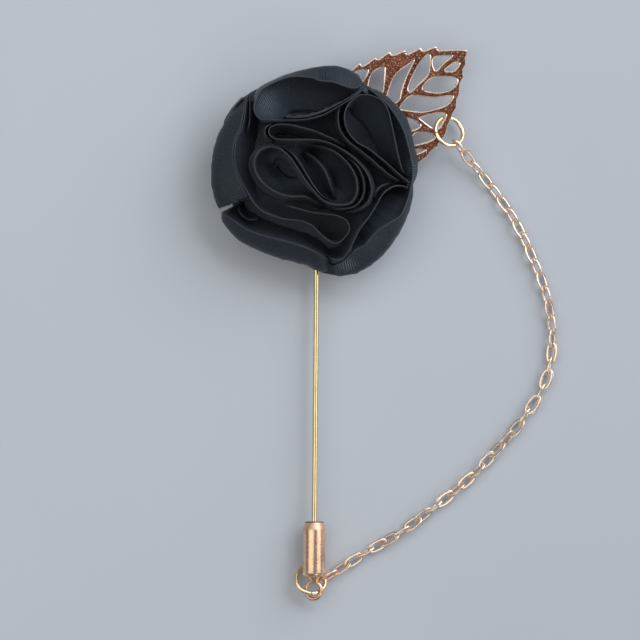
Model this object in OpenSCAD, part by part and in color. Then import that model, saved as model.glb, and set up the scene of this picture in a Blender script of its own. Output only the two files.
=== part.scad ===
// Flower lapel pin: a satin ribbon rose on a felt backing, a pierced cast leaf,
// a long stick pin with a slide-on cap, and a cable chain from the leaf to the cap.
// The pin lies face up. X is right, Y runs along the pin towards the flower, Z is up.
// The origin is the middle of the backing's lower face.

/* [Backing and base] */
// Diameter of the felt backing disc
backing_d = 28; // [24:1:32]
// Thickness of the felt backing disc
backing_t = 1.6; // [1.2:0.1:1.8]
// Largest diameter of the padded base that carries the ribbon
base_d = 36; // [34:0.5:37]
// Height of the base's upper face
base_top = 5.6; // [5.4:0.1:6]

/* [Ribbon] */
// Thickness of a doubled ribbon wall
ribbon_t = 1; // [0.9:0.05:1.1]
// Radius up to which a wall stands straight over its foot
straight_r = 14; // [12:0.5:15]
// Part of a wall's reach past that radius that its foot keeps
foot_reach = 0.58; // [0.5:0.02:0.62]

/* [Stick pin] */
// Diameter of the pin's wire
pin_d = 1.1; // [0.9:0.1:1.2]
// Height of the pin's axis
pin_z = 3.2; // [3.1:0.05:3.2]
// Length of the pin from the flower's middle to its tip
pin_reach = 78.4; // [76:0.2:79]
// Lean of the pin from the Y axis in degrees
pin_lean = -0.52; // [-0.8:0.02:0]
// Diameter of the pad that is soldered to the pin
pad_d = 11; // [8:0.5:12]

/* [Cap] */
// Diameter of the cap
cap_d = 4.5; // [4.3:0.1:4.6]
// Distance from the flower's middle to the cap's mouth
cap_start = 70.2; // [70:0.1:71]
// Length of the cap's barrel
cap_l = 11; // [10:0.5:11.5]
// Diameter of the cap's bore
bore_d = 1.3; // [1.25:0.05:1.5]
// Diameter of the cap's eye, at the middle of its wire
eye_d = 3.5; // [3.3:0.1:3.6]
// Diameter of the eye's wire
eye_wire = 0.8; // [0.7:0.05:0.8]
// Roll of the eye about the cap in degrees
eye_roll = -27; // [-30:1:-24]

/* [Rings and chain] */
// Diameter of a jump ring, at the middle of its wire
ring_d = 6.04; // [6:0.02:6.1]
// Diameter of a jump ring's wire
ring_wire = 0.82; // [0.75:0.01:0.85]
// Length of a chain link
link_l = 4.45; // [4.4:0.05:4.5]
// Width of a chain link
link_w = 2.5; // [2.4:0.05:2.5]
// Width of a link's pressed wire
wire_w = 0.55; // [0.5:0.01:0.56]
// Thickness of a link's pressed wire
wire_t = 0.46; // [0.4:0.01:0.48]

/* [Leaf] */
// Thickness of the leaf's plate
leaf_t = 0.5; // [0.4:0.05:0.55]
// Height of the leaf's raised rim and veins over its plate
relief = 0.22; // [0.1:0.02:0.25]
// Width of a raised vein
vein_w = 0.5; // [0.3:0.05:0.6]

/* [Hidden] */
$fn = 48;
leaf_z = pin_z + pin_d / 2 + 0.2;
leaf_top = leaf_z + leaf_t + relief;

// Columns of a ribbon table: the wall's upper edge in X and Y, its height, and how far
// the wall bulges away from the flower's middle below that edge.
EX = 0;
EY = 1;
TOP = 2;
BELLY = 3;

// The short fold in the flower's heart.
HEART = [
    [-2.1, 3.8, 15.2, 0],
    [0.2, 2.3, 15.8, 0],
    [2.1, -0.4, 15.8, 0],
    [3.1, -3.1, 15.6, 0],
    [3.7, -4.9, 15.2, 0]
];
// The S-shaped fold round the heart.
CENTRE = [
    [-1.4, -5.5, 14.6, 0],
    [-4.7, -5.2, 15.2, 0.2],
    [-9.0, -3.6, 15.4, 0.4],
    [-11.8, -0.6, 15.2, 0.6],
    [-11.8, 2.6, 15.2, 0.6],
    [-9.6, 4.5, 15.6, 0.3],
    [-6.8, 4.1, 16.0, 0],
    [-4.6, 2.1, 16.2, 0],
    [-2.1, -1.7, 16.2, 0],
    [0.4, -4.8, 16.0, 0],
    [3.6, -6.7, 15.6, 0.2],
    [6.6, -6.5, 15.4, 0.3],
    [8.3, -4.2, 15.4, 0.4],
    [8.0, -1.1, 15.6, 0.3],
    [6.1, 1.7, 15.6, 0.2],
    [3.5, 3.7, 15.2, 0]
];
// The flat loop and the wall that wraps the centre on its right.
RING = [
    [1.6, 7.4, 14.2, 0],
    [-2.4, 8.4, 14.6, 0],
    [-7.2, 8.8, 14.8, 0],
    [-9.1, 7.6, 14.8, 0],
    [-7.4, 6.2, 15.2, 0],
    [-2.9, 6.1, 15.4, 0],
    [1.8, 5.9, 15.2, 0],
    [5.5, 4.5, 15.0, 0.2],
    [8.6, 1.8, 14.8, 0.5],
    [10.8, -1.7, 14.6, 0.8],
    [11.0, -4.8, 14.4, 0.8],
    [9.2, -7.2, 14.2, 0.4],
    [5.9, -8.1, 14.2, 0.2]
];
// The left petal, which runs on into the loop under the centre.
LEFT = [
    [-13.8, 14.8, 10.6, 0.9],
    [-14.0, 10.9, 11.6, 3.0],
    [-15.6, 6.3, 12.2, 3.9],
    [-16.1, 2.2, 12.6, 4.4],
    [-15.0, -1.7, 12.8, 5.0],
    [-12.8, -5.5, 13.0, 5.0],
    [-9.9, -8.4, 13.4, 3.0],
    [-5.9, -9.7, 13.8, 1.2],
    [-1.9, -10.2, 13.8, 0.4],
    [1.4, -12.9, 13.4, 0.4],
    [4.2, -14.7, 13.0, 0.6],
    [6.5, -12.2, 13.2, 0.2],
    [5.8, -9.8, 13.6, 0],
    [2.2, -8.7, 14.0, 0],
    [-2.2, -7.9, 14.2, 0],
    [-5.9, -6.9, 14.2, 0]
];
// The petal along the lower left.
BOTTOM = [
    [-18.0, -9.2, 9.6, 1.1],
    [-13.6, -11.7, 11.6, 2.7],
    [-8.1, -13.5, 12.4, 3.4],
    [-2.4, -15.1, 12.4, 3.5],
    [1.8, -17.3, 11.2, 3.2]
];
// The petal at the top, a pouch that opens upwards.
UPPER = [
    [9.6, 16.6, 11.8, 1.2],
    [6.2, 14.2, 13.2, 0.4],
    [1.9, 11.4, 14.0, 0],
    [-3.0, 10.3, 14.2, 0],
    [-8.2, 10.4, 14.0, 0],
    [-11.2, 11.3, 13.4, 0],
    [-11.8, 13.7, 12.6, 0],
    [-9.6, 16.7, 11.6, 0.2],
    [-4.7, 18.7, 11.2, 0.5],
    [-0.4, 18.3, 11.4, 1.7],
    [3.6, 17.5, 11.8, 3.0],
    [7.2, 16.5, 11.8, 3.0]
];
// The petal at the right, a pouch that opens upwards.
RIGHT = [
    [18.8, -2.2, 11.2, 0.8],
    [14.4, 1.3, 13.2, 0],
    [10.7, 4.4, 14.0, 0],
    [7.4, 6.6, 14.2, 0],
    [6.0, 9.8, 14.2, 0],
    [7.2, 12.3, 13.6, 0],
    [10.2, 13.7, 12.8, 0],
    [13.1, 12.6, 12.4, 0],
    [15.0, 9.0, 12.2, 0.2],
    [16.2, 4.6, 12.0, 0.3],
    [17.2, 0.8, 11.6, 0.4]
];
// The low edge outside the right petal.
RIGHT_OUTER = [
    [11.3, 16.3, 10.0, 0.3],
    [14.8, 14.0, 10.6, 0.9],
    [17.4, 9.9, 11.0, 1.2],
    [19.0, 4.8, 11.0, 1.2],
    [19.6, 0.6, 10.4, 1.0]
];
// The inner wall of the lower right petal.
LOW_RIGHT = [
    [18.6, -4.0, 10.8, 0.8],
    [14.7, -4.0, 12.8, 0],
    [12.1, -7.1, 13.4, 0],
    [9.0, -11.7, 13.4, 0],
    [7.2, -15.3, 12.4, 1.2],
    [5.2, -17.7, 11.0, 3.2]
];
// The outer wall of the lower right petal.
LOW_RIGHT_OUTER = [
    [9.0, -16.5, 11.4, 3.0],
    [11.2, -13.6, 12.0, 4.0],
    [14.7, -10.7, 11.8, 3.4],
    [17.5, -8.2, 11.0, 1.6],
    [18.6, -5.6, 10.0, 0.7]
];

// Columns of the chain table: the middle of every third link, then the roll of that link
// and of the two links after it, in degrees about the chain's own line.
LX = 0;
LY = 1;
LZ = 2;
ROLL = 3;
CHAIN = [
    [28.96, 4.78, 4.02, 68, -30, 60],
    [34.3, -1.8, 1.32, -42, 52, -40],
    [39.5, -9.0, 1.3, 52, -40, 52],
    [43.3, -16.6, 1.3, -40, 50, -40],
    [46.4, -24.9, 1.3, 50, -44, 50],
    [47.6, -33.6, 1.3, -58, 26, -76],
    [46.4, -41.7, 1.3, 8, -84, 8],
    [42.1, -49.2, 1.3, -72, 28, -50],
    [36.5, -55.8, 1.3, 42, -26, 58],
    [30.4, -62.0, 1.3, -24, 60, -20],
    [23.9, -67.3, 1.3, 78, -36, 30],
    [17.3, -72.3, 1.3, -76, 38, -28],
    [10.15, -76.45, 1.3, 82, -28, 44],
    [2.8, -81.2, 1.26, -63, 40, -40]
];
link_count = 3 * (len(CHAIN) - 1) + 1;

// Upper edge of the leaf in teeth, then its tip, its lower edge in teeth, and the plain
// part under the flower.
LEAF = [
    [7.1, 20.0], [8.8, 21.5], [9.6, 21.1], [11.8, 22.6], [12.7, 22.4], [14.7, 23.8],
    [15.6, 23.3], [17.8, 24.1], [18.5, 23.5], [20.9, 24.6], [21.7, 24.1], [24.0, 24.9],
    [24.8, 24.2], [27.2, 24.3], [30.5, 24.1], [30.0, 22.8], [30.1, 21.4], [29.5, 20.4],
    [29.6, 18.9], [28.9, 17.6], [28.9, 15.8], [28.3, 14.3], [28.2, 12.8], [27.5, 11.6],
    [27.1, 10.5], [26.5, 9.3], [26.3, 8.1], [25.7, 6.9], [24.9, 6.1], [24.3, 4.9],
    [23.1, 4.1], [22.3, 2.9], [21.1, 2.1], [19.4, 0.7], [15.0, 0.2], [10.0, 1.0],
    [6.0, 2.2], [3.4, 3.4], [2.4, 5.6], [2.4, 10.0], [3.4, 14.6], [5.0, 18.0]
];
// Openings of the leaf between its veins, each a closed curve through a few points.
CELLS = [
    [[27.4, 23.2], [23.8, 22.9], [23.5, 21.0], [24.3, 20.1], [25.8, 21.6]],
    [[21.8, 22.9], [22.9, 23.4], [23.1, 21.6], [22.7, 19.4], [20.7, 17.3], [19.1, 15.8],
        [18.5, 16.6], [19.2, 18.6], [20.4, 21.0]],
    [[16.0, 19.3], [17.1, 20.4], [18.5, 21.4], [19.8, 22.3], [19.0, 20.4], [18.1, 18.4],
        [17.3, 16.1], [16.8, 14.2], [15.4, 13.4], [14.3, 14.6], [15.1, 17.6]],
    [[11.5, 19.9], [13.8, 20.9], [13.9, 18.6], [13.6, 16.0], [12.4, 14.6], [10.8, 15.6],
        [10.6, 17.6]],
    [[8.2, 20.2], [10.6, 20.3], [9.4, 17.8], [7.6, 17.6]],
    [[25.9, 20.4], [28.0, 21.9], [28.9, 21.6], [28.2, 20.3], [26.6, 19.8]],
    [[23.0, 18.6], [26.0, 19.1], [28.2, 18.7], [28.4, 17.5], [27.0, 16.1], [24.6, 15.6],
        [21.4, 16.3]],
    [[19.2, 15.2], [23.8, 14.9], [27.5, 15.2], [26.4, 13.3], [22.0, 11.8], [17.6, 12.2],
        [16.9, 12.8]],
    [[20.9, 10.8], [24.7, 11.8], [26.2, 11.4], [25.8, 10.1], [25.0, 8.8], [23.8, 8.4],
        [21.4, 10.0]],
    [[17.4, 10.6], [19.0, 10.8], [20.4, 10.1], [21.1, 9.3], [20.8, 8.7], [19.4, 8.1], [17.6, 8.4]],
    [[19.6, 7.4], [21.4, 7.9], [23.3, 7.6], [23.9, 6.5], [21.4, 5.5], [19.6, 5.3]],
    [[19.6, 4.2], [20.9, 4.5], [22.2, 4.3], [21.3, 3.8], [20.3, 3.4], [19.4, 3.3]]
];
// Raised veins: the midrib from the tip first, then the side veins from the midrib.
VEINS = [
    [[30.0, 23.6], [25.0, 19.4], [20.3, 16.0], [16.0, 12.9], [9.0, 7.8], [3.6, 4.6]],
    [[25.4, 19.7], [28.0, 19.4], [29.0, 19.6]],
    [[20.8, 16.1], [24.6, 15.2], [28.3, 16.4]],
    [[16.6, 13.2], [20.4, 11.2], [26.4, 12.3]],
    [[16.2, 12.8], [18.6, 11.7], [21.3, 10.2], [24.4, 8.2]],
    [[23.3, 18.6], [23.2, 21.6], [24.2, 24.2]],
    [[18.3, 14.8], [18.8, 18.4], [21.2, 23.6]],
    [[14.4, 12.4], [14.2, 17.2], [15.6, 22.6]]
];

// Catmull-Rom curve through all columns of a table's rows, with even steps from row to row.
function curve_point(rows, u) =
    let (
        last = len(rows) - 1,
        i = min(floor(u), last - 1),
        t = u - i,
        b = rows[i],
        c = rows[i + 1],
        a = i > 0 ? rows[i - 1] : 2 * b - c,
        d = i + 2 <= last ? rows[i + 2] : 2 * c - b
    )
    0.5 * (2 * b + t * (c - a) + t * t * (2 * a - 5 * b + 4 * c - d)
        + t * t * t * (3 * b - a - 3 * c + d));

function curve(rows, steps) =
    [for (k = [0:steps * (len(rows) - 1)]) curve_point(rows, k / steps)];

// The same curve run on round a closed list of points.
function closed_curve(points, steps) =
    let (
        n = len(points),
        around = [for (k = [-1:n + 1]) points[(k + n) % n]]
    )
    [for (k = [0:steps * n - 1]) curve_point(around, 1 + k / steps)];

function unit(v) = v / norm(v);

function turned(v) = [-v[1], v[0]];

// Direction of travel at row k of a list of points.
function travel(points, k) =
    let (a = points[max(k - 1, 0)], b = points[min(k + 1, len(points) - 1)])
    unit([b[0] - a[0], b[1] - a[1]]);

// How much of its distance from the flower's middle a wall's foot keeps.
function foot_scale(r) = r > straight_r ? (straight_r + foot_reach * (r - straight_r)) / r : 1;

// Middle of a wall at a share t of its height, from its foot to its upper edge.
function wall_point(row, t) =
    let (
        edge = [row[EX], row[EY]],
        r = norm(edge),
        k = foot_scale(r),
        drawn = edge * (1 - (1 - k) * (1 - t) * (1 - t)),
        bulge = row[BELLY] * sin(180 * pow(t, 0.75))
    )
    drawn + bulge * edge / r;

// One closed outline of a wall, up its outer side and down its inner side.
function wall_outline(rows, k, levels) =
    let (side = turned(travel(rows, k)) * ribbon_t / 2, row = rows[k])
    concat(
        [for (j = [0:levels])
            let (p = wall_point(row, j / levels) + side)
            [p[0], p[1], base_top + (row[TOP] - base_top) * j / levels]],
        [for (j = [levels:-1:0])
            let (p = wall_point(row, j / levels) - side)
            [p[0], p[1], base_top + (row[TOP] - base_top) * j / levels]]
    );

// A closed skin over a list of outlines that all have the same number of points.
module skin(outlines) {
    n = len(outlines[0]);
    last = len(outlines) - 1;
    polyhedron(
        points = [for (o = outlines) each o],
        faces = concat(
            [for (i = [0:last - 1], j = [0:n - 1])
                let (a = i * n + j, b = i * n + (j + 1) % n)
                [a, b + n, b]],
            [for (i = [0:last - 1], j = [0:n - 1])
                let (a = i * n + j, b = i * n + (j + 1) % n)
                [a, a + n, b + n]],
            [for (j = [1:n / 2 - 1]) each
                [[j - 1, j, n - j], [j, n - j - 1, n - j]]],
            [for (j = [1:n / 2 - 1]) each
                [[last * n + j - 1, last * n + n - j, last * n + j],
                    [last * n + j, last * n + n - j, last * n + n - j - 1]]]
        ),
        convexity = 10
    );
}

// A ribbon wall that stands on the base along a table's upper edge.
module ribbon(table, steps, levels) {
    rows = curve(table, steps);
    color([0.09, 0.1, 0.13])
        skin([for (k = [0:len(rows) - 1]) wall_outline(rows, k, levels)]);
}

// Points of an oval with blunt ends.
function oval(l, w) =
    [for (k = [0:15])
        let (c = cos(22.5 * k + 11.25), s = sin(22.5 * k + 11.25))
        [l / 2 * sign(c) * pow(abs(c), 0.7), w / 2 * sign(s) * pow(abs(s), 0.8)]];

// A flat strip of one width along a list of points.
function strip(points, w) =
    concat(
        [for (k = [0:len(points) - 1]) points[k] + turned(travel(points, k)) * w / 2],
        [for (k = [len(points) - 1:-1:0]) points[k] - turned(travel(points, k)) * w / 2]
    );

// Turns and moves a flat thing so that its face looks along the given direction.
module facing(place, direction) {
    translate(place)
        rotate([0, acos(direction[2] / norm(direction)), atan2(direction[1], direction[0])])
            children();
}

module torus(d, wire) {
    rotate_extrude()
        translate([d / 2, 0])
            circle(d = wire, $fn = 24);
}

// A round turned body whose axis lies along the pin, from its start towards the tip.
module along_pin(start) {
    rotate([0, 0, pin_lean])
        translate([0.5, -start, pin_z])
            rotate([90, 0, 0])
                children();
}

module backing() {
    color([0.08, 0.08, 0.1])
        cylinder(d = backing_d, h = backing_t);
}

// The base is open below for the pin and its pad, and at the side for the leaf.
module flower_base() {
    low = backing_t + 0.1;
    slot_top = pin_z + pin_d / 2 + 0.1;
    color([0.07, 0.08, 0.1])
        difference() {
            rotate_extrude()
                polygon([
                    [0, low],
                    [backing_d / 2 + 0.5, low],
                    [base_d / 2 - 1, low + 1.6],
                    [base_d / 2, base_top - 1],
                    [base_d / 2, base_top],
                    [0, base_top]
                ]);
            translate([0, 0, low - 1])
                cylinder(d = pad_d + 0.8, h = slot_top - low + 1);
            rotate([0, 0, pin_lean])
                translate([0.5 - pin_d / 2 - 0.3, -base_d, low - 1])
                    cube([pin_d + 0.6, base_d, slot_top - low + 1]);
            translate([0, 0, leaf_z - 0.1])
                linear_extrude(leaf_top - leaf_z + 0.2)
                    polygon([[1.4, 2.2], [1.4, 12], [4, 21], [26, 26], [26, -1], [14, -1]]);
        }
}

module stick_pin() {
    cone_l = 3;
    color([0.86, 0.78, 0.5])
        union() {
            along_pin(-4)
                cylinder(d = pin_d, h = pin_reach + 4 - cone_l);
            along_pin(pin_reach - cone_l)
                cylinder(d1 = pin_d, d2 = 0.2, h = cone_l);
            translate([0.5, 0, pin_z - 0.9])
                cylinder(d = pad_d - 1, h = 0.6);
        }
}

module cap() {
    r = cap_d / 2;
    mouth_r = 1.1;
    bevel = 1.5;
    color([0.78, 0.52, 0.38])
        union() {
            along_pin(cap_start)
                rotate_extrude()
                    polygon([
                        [mouth_r, 0],
                        [r - 0.45, 0],
                        [r, bevel],
                        [r, cap_l - 0.5],
                        [r - 0.5, cap_l],
                        [1.3, cap_l],
                        [0.7, cap_l + 1.5],
                        [0, cap_l + 1.5],
                        [0, cap_l - 1.5],
                        [bore_d / 2, cap_l - 1.5],
                        [bore_d / 2, 1.2],
                        [mouth_r, 1.2]
                    ]);
            along_pin(cap_start + cap_l + 1 + eye_d / 2)
                rotate([-90, 0, 0])
                    rotate([0, eye_roll, 0])
                        torus(eye_d, eye_wire);
        }
}

module leaf() {
    color([0.72, 0.42, 0.3])
        translate([0, 0, leaf_z])
            difference() {
                union() {
                    linear_extrude(leaf_t)
                        polygon(LEAF);
                    linear_extrude(leaf_t + relief)
                        for (v = VEINS)
                            polygon(strip(v, vein_w));
                }
                for (c = CELLS)
                    translate([0, 0, -1])
                        linear_extrude(leaf_t + relief + 2)
                            polygon(closed_curve(c, 4));
            }
}

module leaf_ring() {
    color([0.88, 0.72, 0.42])
        facing([26.89, 7.92, 4.1], [0.48, 0.41, 1])
            torus(ring_d, ring_wire);
}

module cap_ring() {
    color([0.84, 0.62, 0.42])
        facing([-0.9, -81.96, 2.04], [0.23, 0.6, 1])
            torus(ring_d, ring_wire);
}

// One pressed link, lying flat, its length along X.
module chain_link() {
    translate([0, 0, -wire_t / 2])
        linear_extrude(wire_t)
            difference() {
                polygon(oval(link_l, link_w));
                polygon(oval(link_l - 2 * wire_w, link_w - 2 * wire_w));
            }
}

module chain() {
    rows = curve([for (row = CHAIN) [row[LX], row[LY], row[LZ]]], 3);
    color([0.88, 0.7, 0.5])
        for (k = [0:link_count - 1]) {
            a = rows[max(k - 1, 0)];
            b = rows[min(k + 1, link_count - 1)];
            d = b - a;
            roll = CHAIN[floor(k / 3)][ROLL + k % 3];
            translate(rows[k])
                rotate([0, -atan2(d[2], norm([d[0], d[1]])), atan2(d[1], d[0])])
                    rotate([roll, 0, 0])
                        chain_link();
        }
}

module heart_fold() {
    ribbon(HEART, 3, 3);
}

module centre_fold() {
    ribbon(CENTRE, 4, 3);
}

module ring_fold() {
    ribbon(RING, 4, 3);
}

module left_petal() {
    ribbon(LEFT, 4, 6);
}

module bottom_petal() {
    ribbon(BOTTOM, 4, 6);
}

module top_petal() {
    ribbon(UPPER, 4, 6);
}

module right_petal() {
    ribbon(RIGHT, 4, 5);
}

module right_outer_petal() {
    ribbon(RIGHT_OUTER, 4, 5);
}

module low_right_petal() {
    ribbon(LOW_RIGHT, 4, 5);
}

module low_right_outer_petal() {
    ribbon(LOW_RIGHT_OUTER, 4, 6);
}

backing();
flower_base();
stick_pin();
cap();
leaf();
leaf_ring();
cap_ring();
chain();
heart_fold();
centre_fold();
ring_fold();
left_petal();
bottom_petal();
top_petal();
right_petal();
right_outer_petal();
low_right_petal();
low_right_outer_petal();
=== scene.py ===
# %% [markdown]
# # A ribbon flower lapel pin, dressed over its CAD frame
# The object is a rose of doubled dark satin ribbon on a padded base and a felt disc, with a pierced cast
# leaf tucked under it, a long stick pin, a slide-on cap, and a cable chain that hangs between two jump rings.
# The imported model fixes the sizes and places. This file adds what CAD leaves out: cloth, edges and finishes.
# All lengths in the tables are millimetres in the frame of the part, and MM turns them into metres.

# %% Load the frame
from contextlib import contextmanager

import bmesh
import bpy
import numpy as np
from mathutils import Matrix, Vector


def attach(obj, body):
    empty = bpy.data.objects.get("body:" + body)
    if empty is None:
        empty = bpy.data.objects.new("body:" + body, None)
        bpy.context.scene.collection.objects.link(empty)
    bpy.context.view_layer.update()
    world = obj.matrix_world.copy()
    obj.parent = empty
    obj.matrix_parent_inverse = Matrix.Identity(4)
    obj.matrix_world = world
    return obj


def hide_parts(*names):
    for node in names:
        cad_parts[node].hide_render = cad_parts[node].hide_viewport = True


MM = 0.001
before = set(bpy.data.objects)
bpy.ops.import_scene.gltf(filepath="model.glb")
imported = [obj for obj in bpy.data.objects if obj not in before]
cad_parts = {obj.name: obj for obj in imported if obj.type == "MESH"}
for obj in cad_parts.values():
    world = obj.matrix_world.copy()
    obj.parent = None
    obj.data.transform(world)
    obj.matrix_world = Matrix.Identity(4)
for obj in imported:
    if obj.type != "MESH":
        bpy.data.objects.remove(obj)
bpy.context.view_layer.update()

# %% [markdown]
# ## Camera
# The photograph looks straight down, so the camera does too. A long lens from far away keeps the flower's
# top, which is 16 mm nearer, from looking larger than the flat chain beside it. The frame is 128 mm wide.

# %% Camera
VIEW_WIDTH = 128 * MM
VIEW_MIDDLE = (1.0 * MM, -29.8 * MM)
CAMERA_HEIGHT = 1.6
SENSOR = 36.0
CAMERA_PLANE = 6 * MM  # the height at which the frame is VIEW_WIDTH wide

camera_data = bpy.data.cameras.new("view")
camera_data.type = "PERSP"
camera_data.sensor_width = SENSOR
camera_data.lens = SENSOR * (CAMERA_HEIGHT - CAMERA_PLANE) / VIEW_WIDTH
camera_data.clip_start, camera_data.clip_end = 0.1, 10
camera = bpy.data.objects.new("view", camera_data)
camera.location = (*VIEW_MIDDLE, CAMERA_HEIGHT)
bpy.context.scene.collection.objects.link(camera)
bpy.context.scene.camera = camera
bpy.context.scene.view_settings.view_transform = "Standard"
bpy.context.scene.view_settings.gamma = 1.1  # the photograph's blacks are soft
print("lens in mm:", round(camera_data.lens, 1))

# %% [markdown]
# ## Meshes from arrays
# Nearly every piece here is a grid: one parameter runs along the piece and the other runs round its section.
# The corners are worked out as whole numpy arrays, and one helper turns such a grid into a closed mesh.


# %% Curves
def between(a, b, c, d, t):
    """Catmull-Rom curve from b to c at shares t of the way, with a before them and d after them.

    Half the sum of 2b, (c - a) t, (2a - 5b + 4c - d) t^2 and (3b - a - 3c + d) t^3.
    """
    return 0.5 * (2 * b + t * (c - a) + t**2 * (2 * a - 5 * b + 4 * c - d) + t**3 * (3 * b - a - 3 * c + d))


def fine_curve(rows, steps):
    """The curve through all rows in equal steps between them, as if it ran straight on past its ends."""
    rows = np.asarray(rows, float)
    ends = np.vstack([2 * rows[0] - rows[1], rows, 2 * rows[-1] - rows[-2]])
    t = np.linspace(0, 1, steps, endpoint=False)[None, :, None]
    a, b, c, d = (ends[k : len(ends) - 3 + k, None, :] for k in range(4))
    return np.vstack([between(a, b, c, d, t).reshape(-1, rows.shape[1]), rows[-1]])


def curve(rows, step):
    """The same curve with its points an even step apart in X and Y, and the distance run up to each point."""
    fine = fine_curve(rows, 24)
    run = np.concatenate([[0], np.cumsum(np.linalg.norm(np.diff(fine[:, :2], axis=0), axis=1))])
    even = np.linspace(0, run[-1], max(2, int(round(run[-1] / step))) + 1)
    return np.column_stack([np.interp(even, run, column) for column in fine.T]), even


def closed_curve(points, steps):
    """The curve run on round a closed list of points, in equal steps between them."""
    points = np.asarray(points, float)
    t = np.linspace(0, 1, steps, endpoint=False)[None, :, None]
    a, b, c, d = (np.roll(points, shift, axis=0)[:, None, :] for shift in (1, 0, -1, -2))
    return between(a, b, c, d, t).reshape(-1, points.shape[1])


def travel(points, closed=False):
    """Unit direction of travel at each point, from the point before it to the point after it."""
    if closed:
        step = np.roll(points, -1, axis=0) - np.roll(points, 1, axis=0)
    else:
        step = np.gradient(points, axis=0)
    return step / np.linalg.norm(step, axis=1, keepdims=True)


X, Y, Z = 0, 1, 2


def rotation(axis, angle):
    """Matrix of a turn about the axis X, Y or Z by an angle in radians: cosines on two places of the
    diagonal, and the sine with both signs beside them."""
    i, j = (axis + 1) % 3, (axis + 2) % 3
    matrix = np.eye(3)
    matrix[i, i] = matrix[j, j] = np.cos(angle)
    matrix[i, j], matrix[j, i] = -np.sin(angle), np.sin(angle)
    return matrix


# %% Meshes and pieces
def grid_faces(rows, columns, round_rows=False):
    """Quads of a grid whose columns run on round the section. The rows may close too, as on a ring."""
    i = np.arange(rows if round_rows else rows - 1)[:, None]
    j = np.arange(columns)[None, :]
    a = i * columns + j
    b = i * columns + (j + 1) % columns
    up = ((i + 1) % rows) * columns
    return np.stack([a, b, up + (j + 1) % columns, up + j], axis=-1).reshape(-1, 4)


def tube_faces(rows, columns):
    """The quads of a tube, and one flat face over each of its ends."""
    last = (rows - 1) * columns
    return [*grid_faces(rows, columns), range(columns), range(last, last + columns)]


def end_faces(first, columns):
    """Flat cap over one section that is a folded loop: quads from one side of the loop to the other."""
    j = np.arange(columns // 2 - 1)
    other = columns - 1 - j
    return np.stack([first + j, first + other, first + other - 1, first + j + 1], axis=-1)


def joined(parts):
    """One array of points and one list of faces from several pairs of points and faces."""
    points, faces, first = [], [], 0
    for part_points, part_faces in parts:
        points.append(part_points)
        faces += [[int(k) + first for k in face] for face in part_faces]
        first += len(part_points)
    return np.vstack(points), faces


@contextmanager
def editing(mesh):
    """Opens a mesh for bmesh's tools and writes it back afterwards."""
    work = bmesh.new()
    work.from_mesh(mesh)
    yield work
    work.to_mesh(mesh)
    work.free()


def new_mesh(name, points, faces):
    """A smooth mesh from points in millimetres and faces, with its normals made to point outwards."""
    mesh = bpy.data.meshes.new(name)
    corners = [[int(k) for k in face] for face in faces]
    mesh.from_pydata((np.asarray(points, float) * MM).tolist(), [], corners)
    mesh.validate()
    with editing(mesh) as work:
        bmesh.ops.recalc_face_normals(work, faces=work.faces)
    mesh.polygons.foreach_set("use_smooth", np.full(len(mesh.polygons), True))
    return mesh


def add_mark(mesh, name, values):
    """Stores one number for each point of a mesh, which a finish reads as an attribute."""
    mark = mesh.attributes.new(name, "FLOAT", "POINT")
    mark.data.foreach_set("value", np.asarray(values, np.float32))


def add_piece(name, mesh, finish, slot, *replaced):
    """Adds a piece at the origin with its finish, and hides the nodes that it stands for. The slot is not
    used.
    """
    piece = bpy.data.objects.new(name, mesh)
    bpy.context.scene.collection.objects.link(piece)
    mesh.materials.append(finish)
    if replaced:
        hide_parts(*replaced)
    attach(piece, "root")
    print(name, "has", len(mesh.polygons), "faces")
    return piece


# %% [markdown]
# ## Shader sums
# A finish is easiest to read when its sums look like sums. Wire wraps one socket of a shader, and adding or
# multiplying wires adds the Math nodes. Finish holds one material: node() takes a node's type, its settings,
# which are set first, and the values or wires of its sockets.


# %% Shader helpers
class Wire:
    """One output of a node. Arithmetic on it adds Math nodes."""

    def __init__(self, finish, socket):
        self.finish, self.socket = finish, socket

    def maths(self, operation, *values):
        return self.finish.node("ShaderNodeMath", {"operation": operation}, dict(enumerate(values)))

    def __add__(self, other):
        return self.maths("ADD", self, other)

    def __sub__(self, other):
        return self.maths("SUBTRACT", self, other)

    def __rsub__(self, other):
        return self.maths("SUBTRACT", other, self)

    def __mul__(self, other):
        return self.maths("MULTIPLY", self, other)

    __radd__ = __add__

    def sine(self):
        return self.maths("SINE", self)

    def clamped(self):
        return self.finish.node("ShaderNodeClamp", {}, {0: self})


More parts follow.
